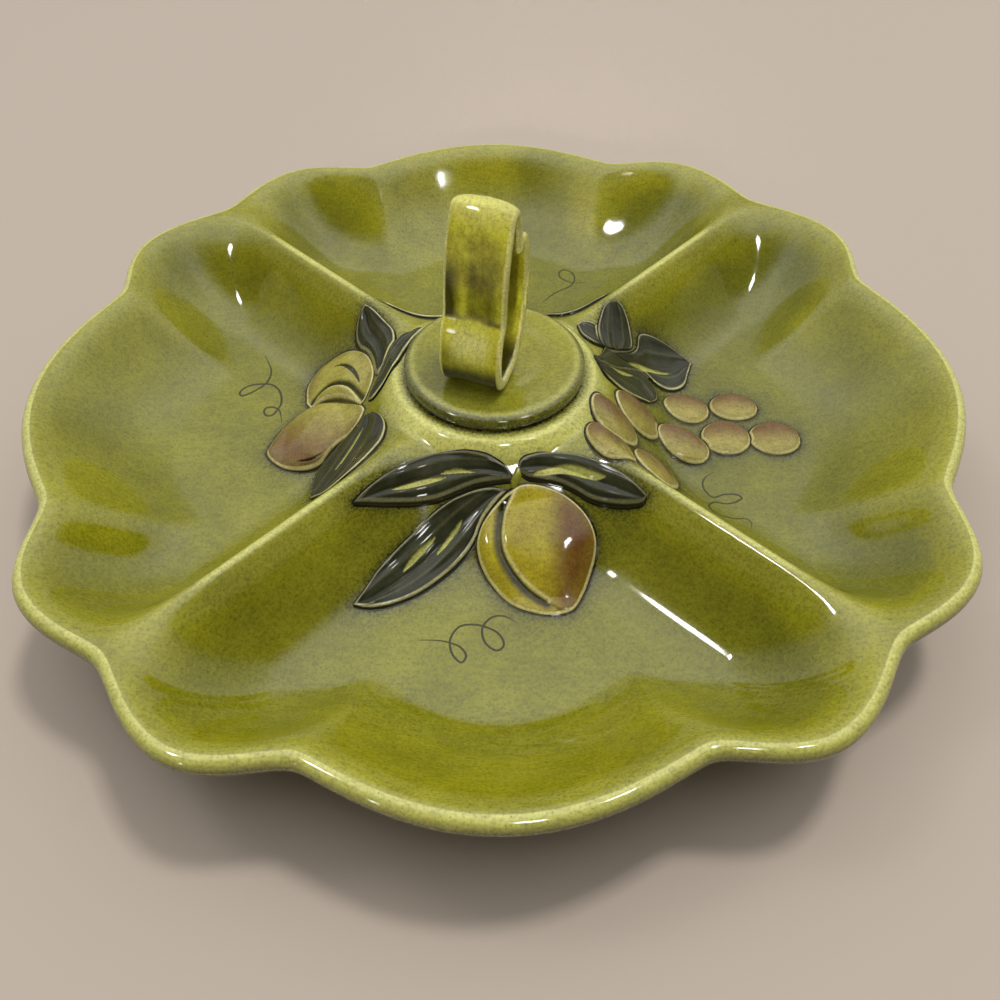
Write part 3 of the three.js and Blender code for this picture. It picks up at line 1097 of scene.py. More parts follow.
@dataclass(frozen=True)
class Blade:
    """One blade of a leaf between two edges, each from base to tip."""

    left: tuple[Pair, ...]
    right: tuple[Pair, ...]
    slits: tuple[Groove, ...] = ()
    # How much of the pale line, thin glaze with painted highlight, shows along the left and right edges
    pale: Pair = (0.5, 1.0)
    # Share of the length from the base at which that line starts
    pale_start: float = 0.0
    thickness: float = 1.1
    swell: float = 0.9
    vein: float = 0.5
    vein_half: float = 0.55
    slit_depth: float = 0.5
    ribs: float = 5.0
    rib_height: float = 0.13
    along_steps: int = 180
    across_steps: int = 81
    outline_steps: int = 40

    def edges(self, form: TrayForm, side: Side, steps: int) -> tuple[np.ndarray, np.ndarray]:
        """Draws both edges in plan.

        Args:
            form: The tray that it lies on.
            side: The compartment.
            steps: How many points to draw.

        Returns:
            The left and right edges.
        """
        drawn = [[form.spot(side, *point) for point in edge] for edge in (self.left, self.right)]
        return smooth_line(drawn[0], steps), smooth_line(drawn[1], steps)

    def outline(self, form: TrayForm, side: Side) -> np.ndarray:
        """The blade's outline in plan."""
        left, right = self.edges(form, side, self.outline_steps)
        return np.vstack([left, right[-2:0:-1]])

    def shell(self, form: TrayForm, side: Side, covers: Sequence[np.ndarray]) -> Shell:
        """The blade's skin: two swollen halves beside a vein, on a root sunk into the tray.

        Args:
            form: The tray that it lies on.
            side: The compartment.
            covers: Outlines of the sprigs that lie over it.

        Returns:
            The closed skin with its marks.
        """
        left, right = self.edges(form, side, self.along_steps + 2)
        left, right = left[1:-1], right[1:-1]
        apart = np.linalg.norm(right - left, axis=1)[:, None]
        beside = (right - left) / apart
        left, right = left - beside * RELIEF.film, right + beside * RELIEF.film
        spread = np.sin(np.linspace(-math.pi / 2, math.pi / 2, self.across_steps))
        across = np.broadcast_to(spread, (self.along_steps, self.across_steps))
        half = apart / 2 + RELIEF.film
        plan = (left[:, None] * (1 - across[..., None]) + right[:, None] * (1 + across[..., None])) / 2
        flat = plan.reshape(-1, 2)
        own = ((1 - np.abs(across)) * half).reshape(-1)
        edge = RELIEF.cut_back(own, flat, covers).reshape(across.shape)
        along = np.linspace(0.0, 1.0, self.along_steps)[:, None]
        ends = soft_step(0.0, 0.15, along) * soft_step(1.0, 0.85, along)
        groove = np.exp(-(across * half / self.vein_half) ** 2) * ends
        pillow = np.sin(np.pi * np.clip(np.abs(across), 0, 1)) * soft_step(0.5, 5.0, half)
        slit = np.zeros(len(flat))
        for mark in self.slits:
            slit = np.maximum(slit, mark.cover(flat, form, side))
        slit = slit.reshape(across.shape)
        rib = np.cos(np.pi * self.ribs * across) * ends * soft_step(1.5, 4.0, half)
        raised = self.thickness + self.swell * pillow + self.rib_height * rib
        height = raised - self.vein * groove - self.slit_depth * slit
        ground = form.height(plan[..., 0], plan[..., 1])
        top = np.dstack([plan, ground + RELIEF.rise(edge, height)])
        bottom = np.dstack([plan, ground - RELIEF.root - RELIEF.bed])[:, -2:0:-1]
        marks = RELIEF.marks(edge)
        shown = np.where(across > 0, self.pale[1], self.pale[0])
        # The pale edge line is thin glaze with painted highlight, stronger on one side
        marks["edge"] = marks["edge"] * shown * soft_step(-0.12, 0.12, along - self.pale_start)
        marks["slit"] = slit
        marks["rib"] = soft_step(0.45, 1.0, rib)
        marks["shade"] = np.maximum(groove * soft_step(0.6, 2.0, half), soft_step(3.4, 2.2, edge) * 0.8)
        hidden = np.zeros((self.along_steps, self.across_steps - 2))
        whole = {name: np.hstack([values, hidden]) for name, values in marks.items()}
        return Shell.loft(np.hstack([top, bottom]), whole)


@dataclass(frozen=True)
class Leaf:
    """A leaf sprig of one or more blades."""

    node: str
    blades: tuple[Blade, ...]
    slot: Slot = Slot.LEAF

    def shell(self, form: TrayForm, side: Side, covers: Sequence[np.ndarray]) -> Shell:
        """The leaf's skin, with each blade under the ones before it.

        Args:
            form: The tray that it lies on.
            side: The compartment.
            covers: Outlines of the sprigs that lie over it.

        Returns:
            The blades' closed skins in one.
        """
        shells: list[Shell] = []
        over = list(covers)
        for blade in self.blades:
            shells.append(blade.shell(form, side, over))
            over.append(blade.outline(form, side))
        return Shell.joined(shells)

    def outlines(self, form: TrayForm, side: Side) -> list[np.ndarray]:
        """The leaf's outlines in plan, one to a blade."""
        return [blade.outline(form, side) for blade in self.blades]


@dataclass(frozen=True)
class Fruit:
    """A fruit sprig: a low dome inside an outline, on a bed that evens out the tray's scoop."""

    node: str
    slot: Slot
    points: tuple[Pair, ...]
    proud: float
    fullness: float = 2.4
    creases: tuple[Groove, ...] = ()
    crease_depth: float = 1.5
    # A crease falls off over these distances on its steep side and its long slope
    crease_runs: Pair = (0.9, 3.0)
    # Where the pale line on its steep side lies, and how wide it is to each side
    crease_pale: Pair = (1.0, 0.42)
    slits: tuple[Groove, ...] = ()
    # The side that the blush lies on, where it starts and how softly, as shares of the fruit's half size
    blush_way: Pair = (0.0, -1.0)
    blush_start: float = 0.2
    blush_soft: float = 0.5
    slit_depth: float = 0.25
    # However deep its creases, a fruit keeps this much height
    least: float = 0.5
    rings: int = 100
    ring_points: int = 220

    @staticmethod
    def oval(at: Pair, way: Pair, length: float, width: float) -> tuple[Pair, ...]:
        """Draws an oval outline.

        Args:
            at: Its middle.
            way: The way that its length lies in.
            length: Its length.
            width: Its width.

        Returns:
            The outline's points.
        """
        size = math.hypot(*way)
        along = (way[0] / size, way[1] / size)
        turns = np.linspace(0.0, 2 * math.pi, 16, endpoint=False)
        return tuple(
            (at[0] + along[0] * length / 2 * math.cos(t) - along[1] * width / 2 * math.sin(t),
             at[1] + along[1] * length / 2 * math.cos(t) + along[0] * width / 2 * math.sin(t))
            for t in turns
        )

    def outline(self, form: TrayForm, side: Side) -> np.ndarray:
        """The fruit's outline in plan."""
        closed = [form.spot(side, *point) for point in (*self.points, self.points[0])]
        return smooth_line(closed, self.ring_points + 1)[:-1]

    def outlines(self, form: TrayForm, side: Side) -> list[np.ndarray]:
        """The fruit's outline in plan, as the only one of a list."""
        return [self.outline(form, side)]

    def pressed(
        self, plan: np.ndarray, form: TrayForm, side: Side,
    ) -> tuple[np.ndarray, np.ndarray, np.ndarray]:
        """Presses the creases and slits into the fruit.

        Args:
            plan: Points in plan, one to a row.
            form: The tray that it lies on.
            side: The compartment.

        Returns:
            For each point, the dark glaze and painted shade in the grooves, the pale line beside a crease, and
            the depth.
        """
        dark, pale, depth = np.zeros((3, len(plan)))
        for groove in self.creases:
            off = groove.beside(plan, form, side)
            # A crease has a steep side, with a pale edge, and a long slope with painted shade that darkens
            # towards it
            steep, slope = np.maximum(off, 0.0), np.maximum(-off, 0.0)
            depth += self.crease_depth * np.exp(-steep / self.crease_runs[0] - slope / self.crease_runs[1])
            shaded = soft_step(4.6 * groove.half, 1.4 * groove.half, slope)
            dark = np.maximum(dark, shaded * soft_step(0.6, 0.2, steep))
            pale = np.maximum(pale, np.exp(-((off - self.crease_pale[0]) / self.crease_pale[1]) ** 2))
        for groove in self.slits:
            cover = groove.cover(plan, form, side)
            dark = np.maximum(dark, cover)
            depth += self.slit_depth * cover
        return dark, pale, depth

    def shell(self, form: TrayForm, side: Side, covers: Sequence[np.ndarray]) -> Shell:
        """The fruit's skin.

        Args:
            form: The tray that it lies on.
            side: The compartment.
            covers: Outlines of the sprigs that lie over it.

        Returns:
            The closed skin with its marks.
        """
        outline = self.outline(form, side)
        centre = outline.mean(0)
        reach = np.linalg.norm(outline - centre, axis=1)
        grown = centre + (outline - centre) * (1 + RELIEF.film / reach)[:, None]
        share = np.sin(np.linspace(0.02, math.pi / 2, self.rings))[:, None]
        plan = centre + (grown - centre) * share[..., None]
        flat = plan.reshape(-1, 2)
        own = ((1 - share) * (reach + RELIEF.film)).reshape(-1)
        edge = RELIEF.cut_back(own, flat, covers).reshape(plan.shape[:2])
        ground = form.height(plan[..., 0], plan[..., 1])
        rim = form.height(outline[:, 0], outline[:, 1])
        tilt = np.linalg.lstsq(np.column_stack([outline - centre, np.ones(len(rim))]), rim, rcond=None)[0]
        bed = np.maximum((flat - centre) @ tilt[:2] + tilt[2] - ground.reshape(-1), 0.0).reshape(ground.shape)
        inner = np.clip(share * (reach + RELIEF.film) / reach, 0.0, 1.0)
        dome = np.sqrt(1 - inner ** self.fullness)
        height = (bed + self.proud) * dome
        crease, pale, sink = (values.reshape(edge.shape) for values in self.pressed(flat, form, side))
        top = np.dstack([plan, ground + RELIEF.rise(edge, np.maximum(height - sink, self.least))])
        # Every third ring is enough for the hidden underside
        under = share[-2::-3]
        base = centre + (grown - centre) * under[..., None]
        below = form.height(base[..., 0], base[..., 1]) - RELIEF.root - RELIEF.bed
        bottom = np.dstack([base, below])
        way = np.array(side.place(*[np.array(v) for v in self.blush_way]))
        lean = ((flat - centre) @ (way / np.linalg.norm(way)) / reach.mean()).reshape(edge.shape)
        marks = RELIEF.marks(edge)
        marks["edge"] = np.maximum(marks["edge"], pale)
        marks["crease"] = crease
        marks["blush"] = soft_step(self.blush_start - self.blush_soft, self.blush_start + self.blush_soft, lean)
        hidden = np.zeros((len(under), self.ring_points))
        whole = {name: np.vstack([values, hidden]) for name, values in marks.items()}
        return Shell.loft(np.vstack([top, bottom]), whole)


@dataclass(frozen=True)
class Tendril:
    """A thin line of dark slip trailed on the tray, through points given as the grooves' are."""

    name: str
    points: tuple[Pair, ...]
    half: float = 0.34
    flatness: float = 0.15
    finish: EarthenwareGlaze = TENDRIL_GLAZE
    steps: int = 170
    sides: int = 8
    # Lifts the line clear of the tray's own facets
    clearance: float = 0.03

    def shell(self, form: TrayForm, side: Side) -> Shell:
        """The trailed line's skin, half sunk into the tray and tapered at its ends.

        Args:
            form: The tray that it lies on.
            side: The compartment.

        Returns:
            The closed skin.
        """
        plan = smooth_line([form.spot(side, *point) for point in self.points], self.steps)
        way = np.gradient(plan, axis=0)
        way /= np.linalg.norm(way, axis=1)[:, None]
        beside = np.column_stack([-way[:, 1], way[:, 0]])
        share = np.linspace(0.0, 1.0, self.steps)
        radius = self.half * (0.35 + 0.65 * soft_step(0.0, 0.12, share) * soft_step(1.0, 0.8, share))
        turn = np.linspace(0.0, 2 * math.pi, self.sides, endpoint=False)
        flat = plan[:, None, :] + beside[:, None, :] * (radius[:, None] * np.cos(turn))[..., None]
        ground = form.height(flat[..., 0], flat[..., 1])
        lift = self.flatness * radius[:, None] * np.sin(turn) + self.clearance
        return Shell.loft(np.dstack([flat, ground + lift]))


@dataclass(frozen=True)
class Motif:
    """The sprigs of one compartment, from the topmost to the lowest, and its trailed lines."""

    side: Side
    sprigs: tuple[Fruit | Leaf, ...]
    tendrils: tuple[Tendril, ...] = ()

    def footprints(self, form: TrayForm) -> list[np.ndarray]:
        """Outlines in plan of all the sprigs."""
        return [line for sprig in self.sprigs for line in sprig.outlines(form, self.side)]

    def build(self, form: TrayForm, palette: Palette) -> None:
        """Builds the sprigs and the trailed lines and dresses them.

        Args:
            form: The tray that they lie on.
            palette: The finishes.
        """
        covers: list[np.ndarray] = []
        for sprig in self.sprigs:
            piece = sprig.shell(form, self.side, covers).to_object(f"{sprig.node}_sprig")
            palette.dress(piece, FINISH_OF_SLOT[sprig.slot], sprig.slot, Body.TRAY, sprig.node)
            covers.extend(sprig.outlines(form, self.side))
        for tendril in self.tendrils:
            piece = tendril.shell(form, self.side).to_object(tendril.name)
            palette.dress(piece, tendril.finish, Slot.LEAF, Body.TRAY)


def grape(number: int, at: Pair, way: Pair, length: float, width: float) -> Fruit:
    """Makes one grape of the bunch.

    Args:
        number: Its number.
        at: Its middle.
        way: The way that its length lies in.
        length: Its length.
        width: Its width.

    Returns:
        The grape.
    """
    return Fruit(
        f"grape_{number}", Slot.GRAPE, Fruit.oval(at, way, length, width), proud=2.6, fullness=3.2,
        blush_way=(1.0, 0.1), blush_start=-0.05, blush_soft=0.55, rings=48, ring_points=96,
    )


MOTIFS = (
    Motif(
        Side.FRONT,
        (
            Fruit(
                "peach", Slot.PEACH, (
                    (4.8, 5.1), (8.3, 3.9), (14.3, 3.8), (21.2, 5.5), (27.1, 9.1), (30.9, 13.5),
                    (32.6, 18.1), (32.2, 22.7), (30.5, 27.4), (27.6, 33.9), (23.4, 40.0), (16.9, 41.3),
                    (10.2, 40.1), (4.4, 37.5), (-0.4, 33.1), (-4.7, 27.1), (-6.9, 21.7), (-7.2, 17.6),
                    (-5.4, 13.1), (-1.3, 9.0), (2.8, 6.0),
                ), 4.0,
                creases=(Groove((
                    (4.6, 6.0), (2.2, 9.8), (1.1, 14.1), (0.7, 18.7), (1.5, 22.9), (4.0, 27.3), (8.8, 32.7),
                    (15.2, 37.0),
                ), 0.75),),
                blush_way=(1.0, 0.02), blush_start=0.28, blush_soft=0.24,
            ),
            Leaf("peach_leaf_left", (Blade(
                ((5.5, 3.0), (3.4, 0.3), (-1.5, -1.9), (-7.4, -3.3), (-13.3, -4.3), (-20.4, -4.7),
                 (-28.3, -2.4), (-36.0, 2.5), (-42.5, 8.5), (-46.9, 13.6)),
                ((5.5, 3.2), (-1.6, 3.7), (-7.6, 4.3), (-13.6, 5.5), (-19.7, 6.9), (-25.6, 7.8),
                 (-33.4, 9.2), (-40.9, 11.3), (-46.9, 13.6)),
                (Groove(((-34.7, 6.2), (-25.5, 3.3), (-16.5, 2.0)), 0.9),
                 Groove(((-18.5, 0.8), (-12.5, 0.7), (-7.0, 1.6)), 0.6)),
                pale=(0.2, 0.25),
            ),)),
            Leaf("peach_leaf_low", (Blade(
                ((3.5, 5.4), (-1.7, 4.7), (-6.6, 5.1), (-11.6, 6.0), (-15.7, 7.1), (-21.8, 10.1),
                 (-27.8, 14.7), (-33.8, 19.9), (-39.5, 26.4), (-43.2, 32.5), (-47.2, 38.5)),
                ((3.5, 5.6), (-1.8, 9.7), (-5.9, 14.6), (-9.0, 19.1), (-14.1, 23.8), (-20.1, 28.1),
                 (-27.9, 33.1), (-35.5, 36.8), (-42.1, 38.6), (-47.2, 38.5)),
                (Groove(((-31.4, 25.4), (-26.5, 20.6), (-20.9, 16.2)), 0.75),
                 Groove(((-20.5, 20.4), (-16.0, 16.2), (-11.8, 12.1)), 0.7)),
                pale=(0.35, 0.8),
            ),)),
            Leaf("peach_leaf_right", (Blade(
                ((6.9, 1.1), (7.9, -1.5), (12.4, -3.3), (18.5, -4.3), (25.5, -3.9), (31.3, -1.7),
                 (36.9, 2.0), (42.3, 6.7), (45.8, 10.7), (48.2, 13.7)),
                ((6.9, 1.1), (9.8, 2.5), (14.3, 3.0), (20.3, 3.7), (25.2, 5.4), (31.0, 8.7), (36.7, 11.2),
                 (43.1, 13.8), (47.1, 14.8), (48.2, 13.7)),
                (Groove(((12.3, 2.0), (23.3, 0.6), (35.4, 4.5)), 1.35),),
                pale=(0.3, 0.25),
            ),)),
        ),
        (
            Tendril(
                "peach_stem", ((7.6, 0.2), (6.6, 2.2), (5.0, 4.6)), half=1.3, flatness=0.9, finish=APPLE_GLAZE,
            ),
            Tendril("peach_tendril", (
                (5.4, 43.6), (1.2, 41.0), (-2.5, 41.4), (-5.6, 45.6), (-4.7, 51.1), (-1, 54.0), (1.1, 52.1),
                (-0.6, 47.6), (-5.5, 44.7), (-9.4, 44.0), (-13.0, 44.8), (-15.8, 49.4), (-15.1, 55.0),
                (-12.2, 58.1), (-10.8, 55.8), (-12.3, 52.8), (-15.5, 50.9), (-19.7, 49.8), (-25.8, 49.5),
            )),
        ),
    ),
    Motif(
        Side.LEFT,
        (
            Leaf("pear_leaf_low", (Blade(
                ((9.1, 4.1), (8.8, 7.9), (10.5, 11.6), (12.4, 17.1), (15.9, 21.5), (20.8, 24.7),
                 (33.4, 25.2)),
                ((9.1, 4.1), (14.9, -0.8), (20.5, -2.9), (26.5, -2.2), (32.5, 2.0), (37.5, 8.0),
                 (39.5, 16.0), (33.4, 25.2)),
                (Groove(((14.2, 6.1), (18.5, 9.4), (21.8, 12.6), (25.5, 17.0)), 0.55),),
            ),)),
            Fruit(
                "pear_large", Slot.PEAR, (
                    (1.1, 7.4), (-6.5, 13.1), (-12.9, 19.6), (-16.0, 25.8), (-15.5, 31.4), (-11.8, 36.5),
                    (-5.0, 41.0), (2.5, 44.0), (6.6, 44.8), (10.0, 43.0), (14.0, 38.6), (16.2, 34.0),
                    (17.6, 28.6), (17.6, 24.5), (15.5, 20.0), (12.4, 15.1), (10.1, 11.0), (8.0, 8.0),
                    (4.5, 6.3),
                ), 3.6,
                slits=(Groove(((14.4, 22.0), (15.4, 25.5), (15.2, 28.5), (14.4, 32.0)), 0.45),),
                blush_way=(0.8, 0.6), blush_start=-0.1, blush_soft=0.75,
            ),
            Fruit(
                "pear_small", Slot.PEAR, (
                    (-20.0, 32.9), (-30.0, 33.4), (-36.3, 29.7), (-37.6, 24.6), (-36.9, 18.4),
                    (-34.0, 13.2), (-27.8, 7.9), (-20.0, 5.0), (-11.2, 3.8), (-4.7, 5.1), (-0.6, 7.5),
                    (-3.1, 13.7), (-9.3, 22.1), (-14.8, 29.5),
                ), 3.0,
                creases=(Groove((
                    (-1.0, 7.2), (-7.2, 10.2), (-14.2, 14.4), (-18.9, 19.3), (-20.9, 24.0), (-20.3, 27.8),
                    (-17.4, 31.0),
                ), 0.5),),
                slits=(Groove((
                    (-11.7, 9.5), (-16.4, 11.0), (-23.0, 14.3), (-27.9, 18.1), (-30.5, 22.0),
                ), 0.8),),
                blush_way=(-0.3, 0.9), blush_start=1.0, blush_soft=0.4,
            ),
            Leaf("pear_leaf_collar", (Blade(
                ((2.0, 5.0), (-1.2, 4.8), (-6.9, 2.4), (-15.5, -0.7), (-22.7, -3.6), (-26.1, -7.9),
                 (-23.2, -15.5)),
                ((2.0, 5.0), (3.1, 3.0), (0.5, -1.1), (-3.1, -5.5), (-10.2, -8.5), (-17.2, -11.6),
                 (-23.2, -15.5)),
                swell=0.4, vein=0.2,
            ),)),
            Leaf("pear_leaf_top", (Blade(
                ((-8.9, 2.4), (-23.8, 6.7), (-32.3, 11.1), (-36.2, 12.7), (-40.6, 12.6), (-43.6, 11.0),
                 (-45.3, 8.7)),
                ((-8.9, 2.4), (-8.9, -0.3), (-14.4, -3.0), (-24.2, -4.0), (-29.4, -3.1), (-34.9, 0.3),
                 (-40.8, 4.6), (-45.3, 8.7)),
                vein=0.8,
            ),)),
        ),
        (
            Tendril("pear_tendril", (
                (-10.1, 41.3), (-14.6, 42.2), (-17.4, 43.4), (-18.9, 45.9), (-18.4, 48.4), (-16.3, 48.9),
                (-14.1, 47.5), (-14.6, 45.2), (-17.5, 43.9), (-20.3, 42.9), (-24.6, 43.2), (-28.9, 44.9),
                (-32.0, 48.2), (-32.1, 55.2), (-30.1, 58.7), (-27.5, 60.0), (-25.8, 59.2), (-26.6, 56.7),
                (-31.7, 51.1), (-35.2, 49.5), (-40.4, 49.3), (-49.4, 52.9),
            ), half=0.4),
        ),
    ),
    Motif(
        Side.RIGHT,
        (
            Leaf("vine_leaf", (
                Blade(
                    ((26.2, 6.8), (22.3, 0.5), (28.3, -1.3), (36.1, 0.4), (39.8, 2.3), (42.8, 5.6)),
                    ((26.2, 6.8), (33.0, 13.4), (37.8, 13.2), (42.0, 11.6), (43.8, 9.2), (42.8, 5.6)),
                    pale_start=0.35, swell=0.5, vein=0.0,
                ),
                Blade(
                    ((23.4, 3.0), (20.6, -3.0), (22.2, -7.3), (28.3, -9.3)),
                    ((23.4, 3.0), (28.6, 1.1), (30.8, -1.1), (30.8, -5.0), (28.3, -9.3)),
                    pale_start=0.35, swell=0.5, vein=0.0,
                ),
                Blade(
                    ((21.8, 4.0), (33.6, 15.0), (40.2, 17.0), (43.4, 24.2), (42.5, 32.4), (38.8, 39.3)),
                    ((21.8, 4.0), (24.2, 11.5), (25.5, 18.0), (22.8, 24.0), (22.4, 29.0), (25.8, 34.4),
                     (32.3, 36.9), (38.8, 39.3)),
                    (Groove(((20.4, 5.7), (27.0, 17.7), (31.5, 29.4)), 1.0),),
                    pale_start=0.3, swell=0.5, vein=0.0,
                ),
                Blade(
                    ((7.4, -4.5), (13.1, 4.3), (20.2, 11.0), (24.3, 17.4), (19.7, 22.0), (12.9, 21.6),
                     (8.1, 17.9)),
                    ((7.4, -4.5), (2.9, -1.7), (2.1, 4.0), (4.6, 10.3), (8.1, 17.9)),
                    (Groove(((9.5, 1.0), (13.0, 6.5), (17.5, 12.0)), 0.7),),
                    pale_start=0.3, swell=0.5, vein=0.2,
                ),
                Blade(
                    ((7.8, -5.0), (16.0, -1.0), (24.0, 1.9), (32.3, 10.1), (35.5, 17.2), (35.0, 22.0),
                     (30.8, 25.7)),
                    ((7.8, -5.0), (4.5, -3.0), (6.0, 1.0), (10.4, 7.8), (20.7, 16.8), (30.8, 25.7)),
                    pale=(0.2, 0.2), swell=0.2, vein=0.0,
                ),
            )),
            grape(1, (-8.0, 29.0), (-10.5, 16.8), 21.0, 17.0),
            grape(4, (-3.0, 46.0), (-2.0, 17.5), 18.8, 18.0),
            grape(2, (12.3, 33.2), (-1.7, 16.7), 18.2, 16.0),
            grape(5, (-3.8, 64.2), (-0.5, 18.5), 19.7, 17.5),
            grape(3, (13.5, 51.8), (-2.2, 17.5), 18.8, 15.0),
            grape(6, (-4.8, 11.3), (-9.5, 13.4), 18.2, 17.0),
            grape(7, (-17.5, 1.0), (-6.0, 15.4), 18.2, 17.0),
            grape(8, (-32.0, -2.0), (-18.0, 12.4), 21.2, 15.0),
            grape(9, (-29.0, 15.5), (-8.7, 13.6), 17.7, 17.0),
        ),
        (
            Tendril("grape_tendril", (
                (-20.0, 38.4), (-22.5, 35.3), (-25.7, 33.8), (-28.9, 34.2), (-32.2, 36.5), (-31.0, 40.6),
                (-31.2, 45.2), (-32.7, 46.7), (-34.6, 44.2), (-35.4, 40.6), (-34.8, 36.5), (-37.4, 34.0),
                (-41.5, 35.5), (-43.0, 42.0), (-42.6, 46.3), (-44.5, 47.9), (-47.6, 47.0),
            ), half=0.3),
        ),
    ),
    Motif(
        Side.BACK,
        (
            Fruit(
                "apple", Slot.APPLE, (
                    (-7.6, 0.2), (-2.4, -1.8), (3.4, -0.8), (8.6, 3.4), (11.4, 9.6), (11.6, 16.6),
                    (9.2, 24.0), (5.0, 30.8), (-0.8, 35.0), (-5.4, 36.0), (-8.2, 35.0), (-11.4, 36.0),
                    (-16.2, 34.6), (-21.6, 30.0), (-25.4, 23.4), (-27.4, 16.0), (-27.0, 9.2), (-24.0, 3.2),
                    (-18.8, -0.8), (-12.8, -1.8),
                ), 4.2,
                creases=(Groove((
                    (-7.2, 3.0), (-12.4, 4.4), (-16.6, 8.4), (-18.6, 14.0), (-18.2, 20.4), (-15.6, 26.6),
                    (-11.4, 31.6),
                ), 0.6),),
                crease_depth=1.0,
                slits=(Groove(((-4.8, 31.2), (-7.6, 30.2), (-10.6, 31.4)), 0.7),),
                blush_way=(0.9, 0.3), blush_start=0.4, blush_soft=0.4,
            ),
            Leaf("apple_leaf_left", (Blade(
                ((4.0, 3.0), (10.0, 8.0), (20.0, 10.5), (32.0, 12.5), (46.0, 13.0)),
                ((4.0, 3.0), (8.0, -1.5), (18.0, -4.0), (32.0, 1.5), (46.0, 13.0)),
                (Groove(((12.0, 3.5), (22.0, 4.0), (34.0, 8.0)), 1.0),),
            ),)),
            Leaf("apple_leaf_right", (Blade(
                ((-18.0, 2.0), (-24.0, -3.0), (-33.0, -1.0), (-41.0, 6.0), (-47.0, 13.5)),
                ((-18.0, 2.0), (-25.0, 6.5), (-32.0, 10.0), (-40.0, 12.5), (-47.0, 13.5)),
                (Groove(((-23.0, 1.8), (-30.0, 3.5), (-38.0, 8.5)), 1.0),),
            ),)),
        ),
        (
            Tendril(
                "apple_stem", ((-4.6, -4.6), (-6.2, -2.2), (-7.4, 1.2)), half=1.2, flatness=0.9,
                finish=APPLE_GLAZE,
            ),
            Tendril("apple_tendril", (
                (-21.9, 41.7), (-27.9, 48.3), (-34.6, 52.9), (-36.8, 57.6), (-36.0, 62.4), (-32.5, 65.0),
                (-30.2, 62.7), (-30.7, 59.0), (-35.5, 55.3), (-41.2, 55.1),
            ), half=0.3),
        ),
    ),
)


# The lid


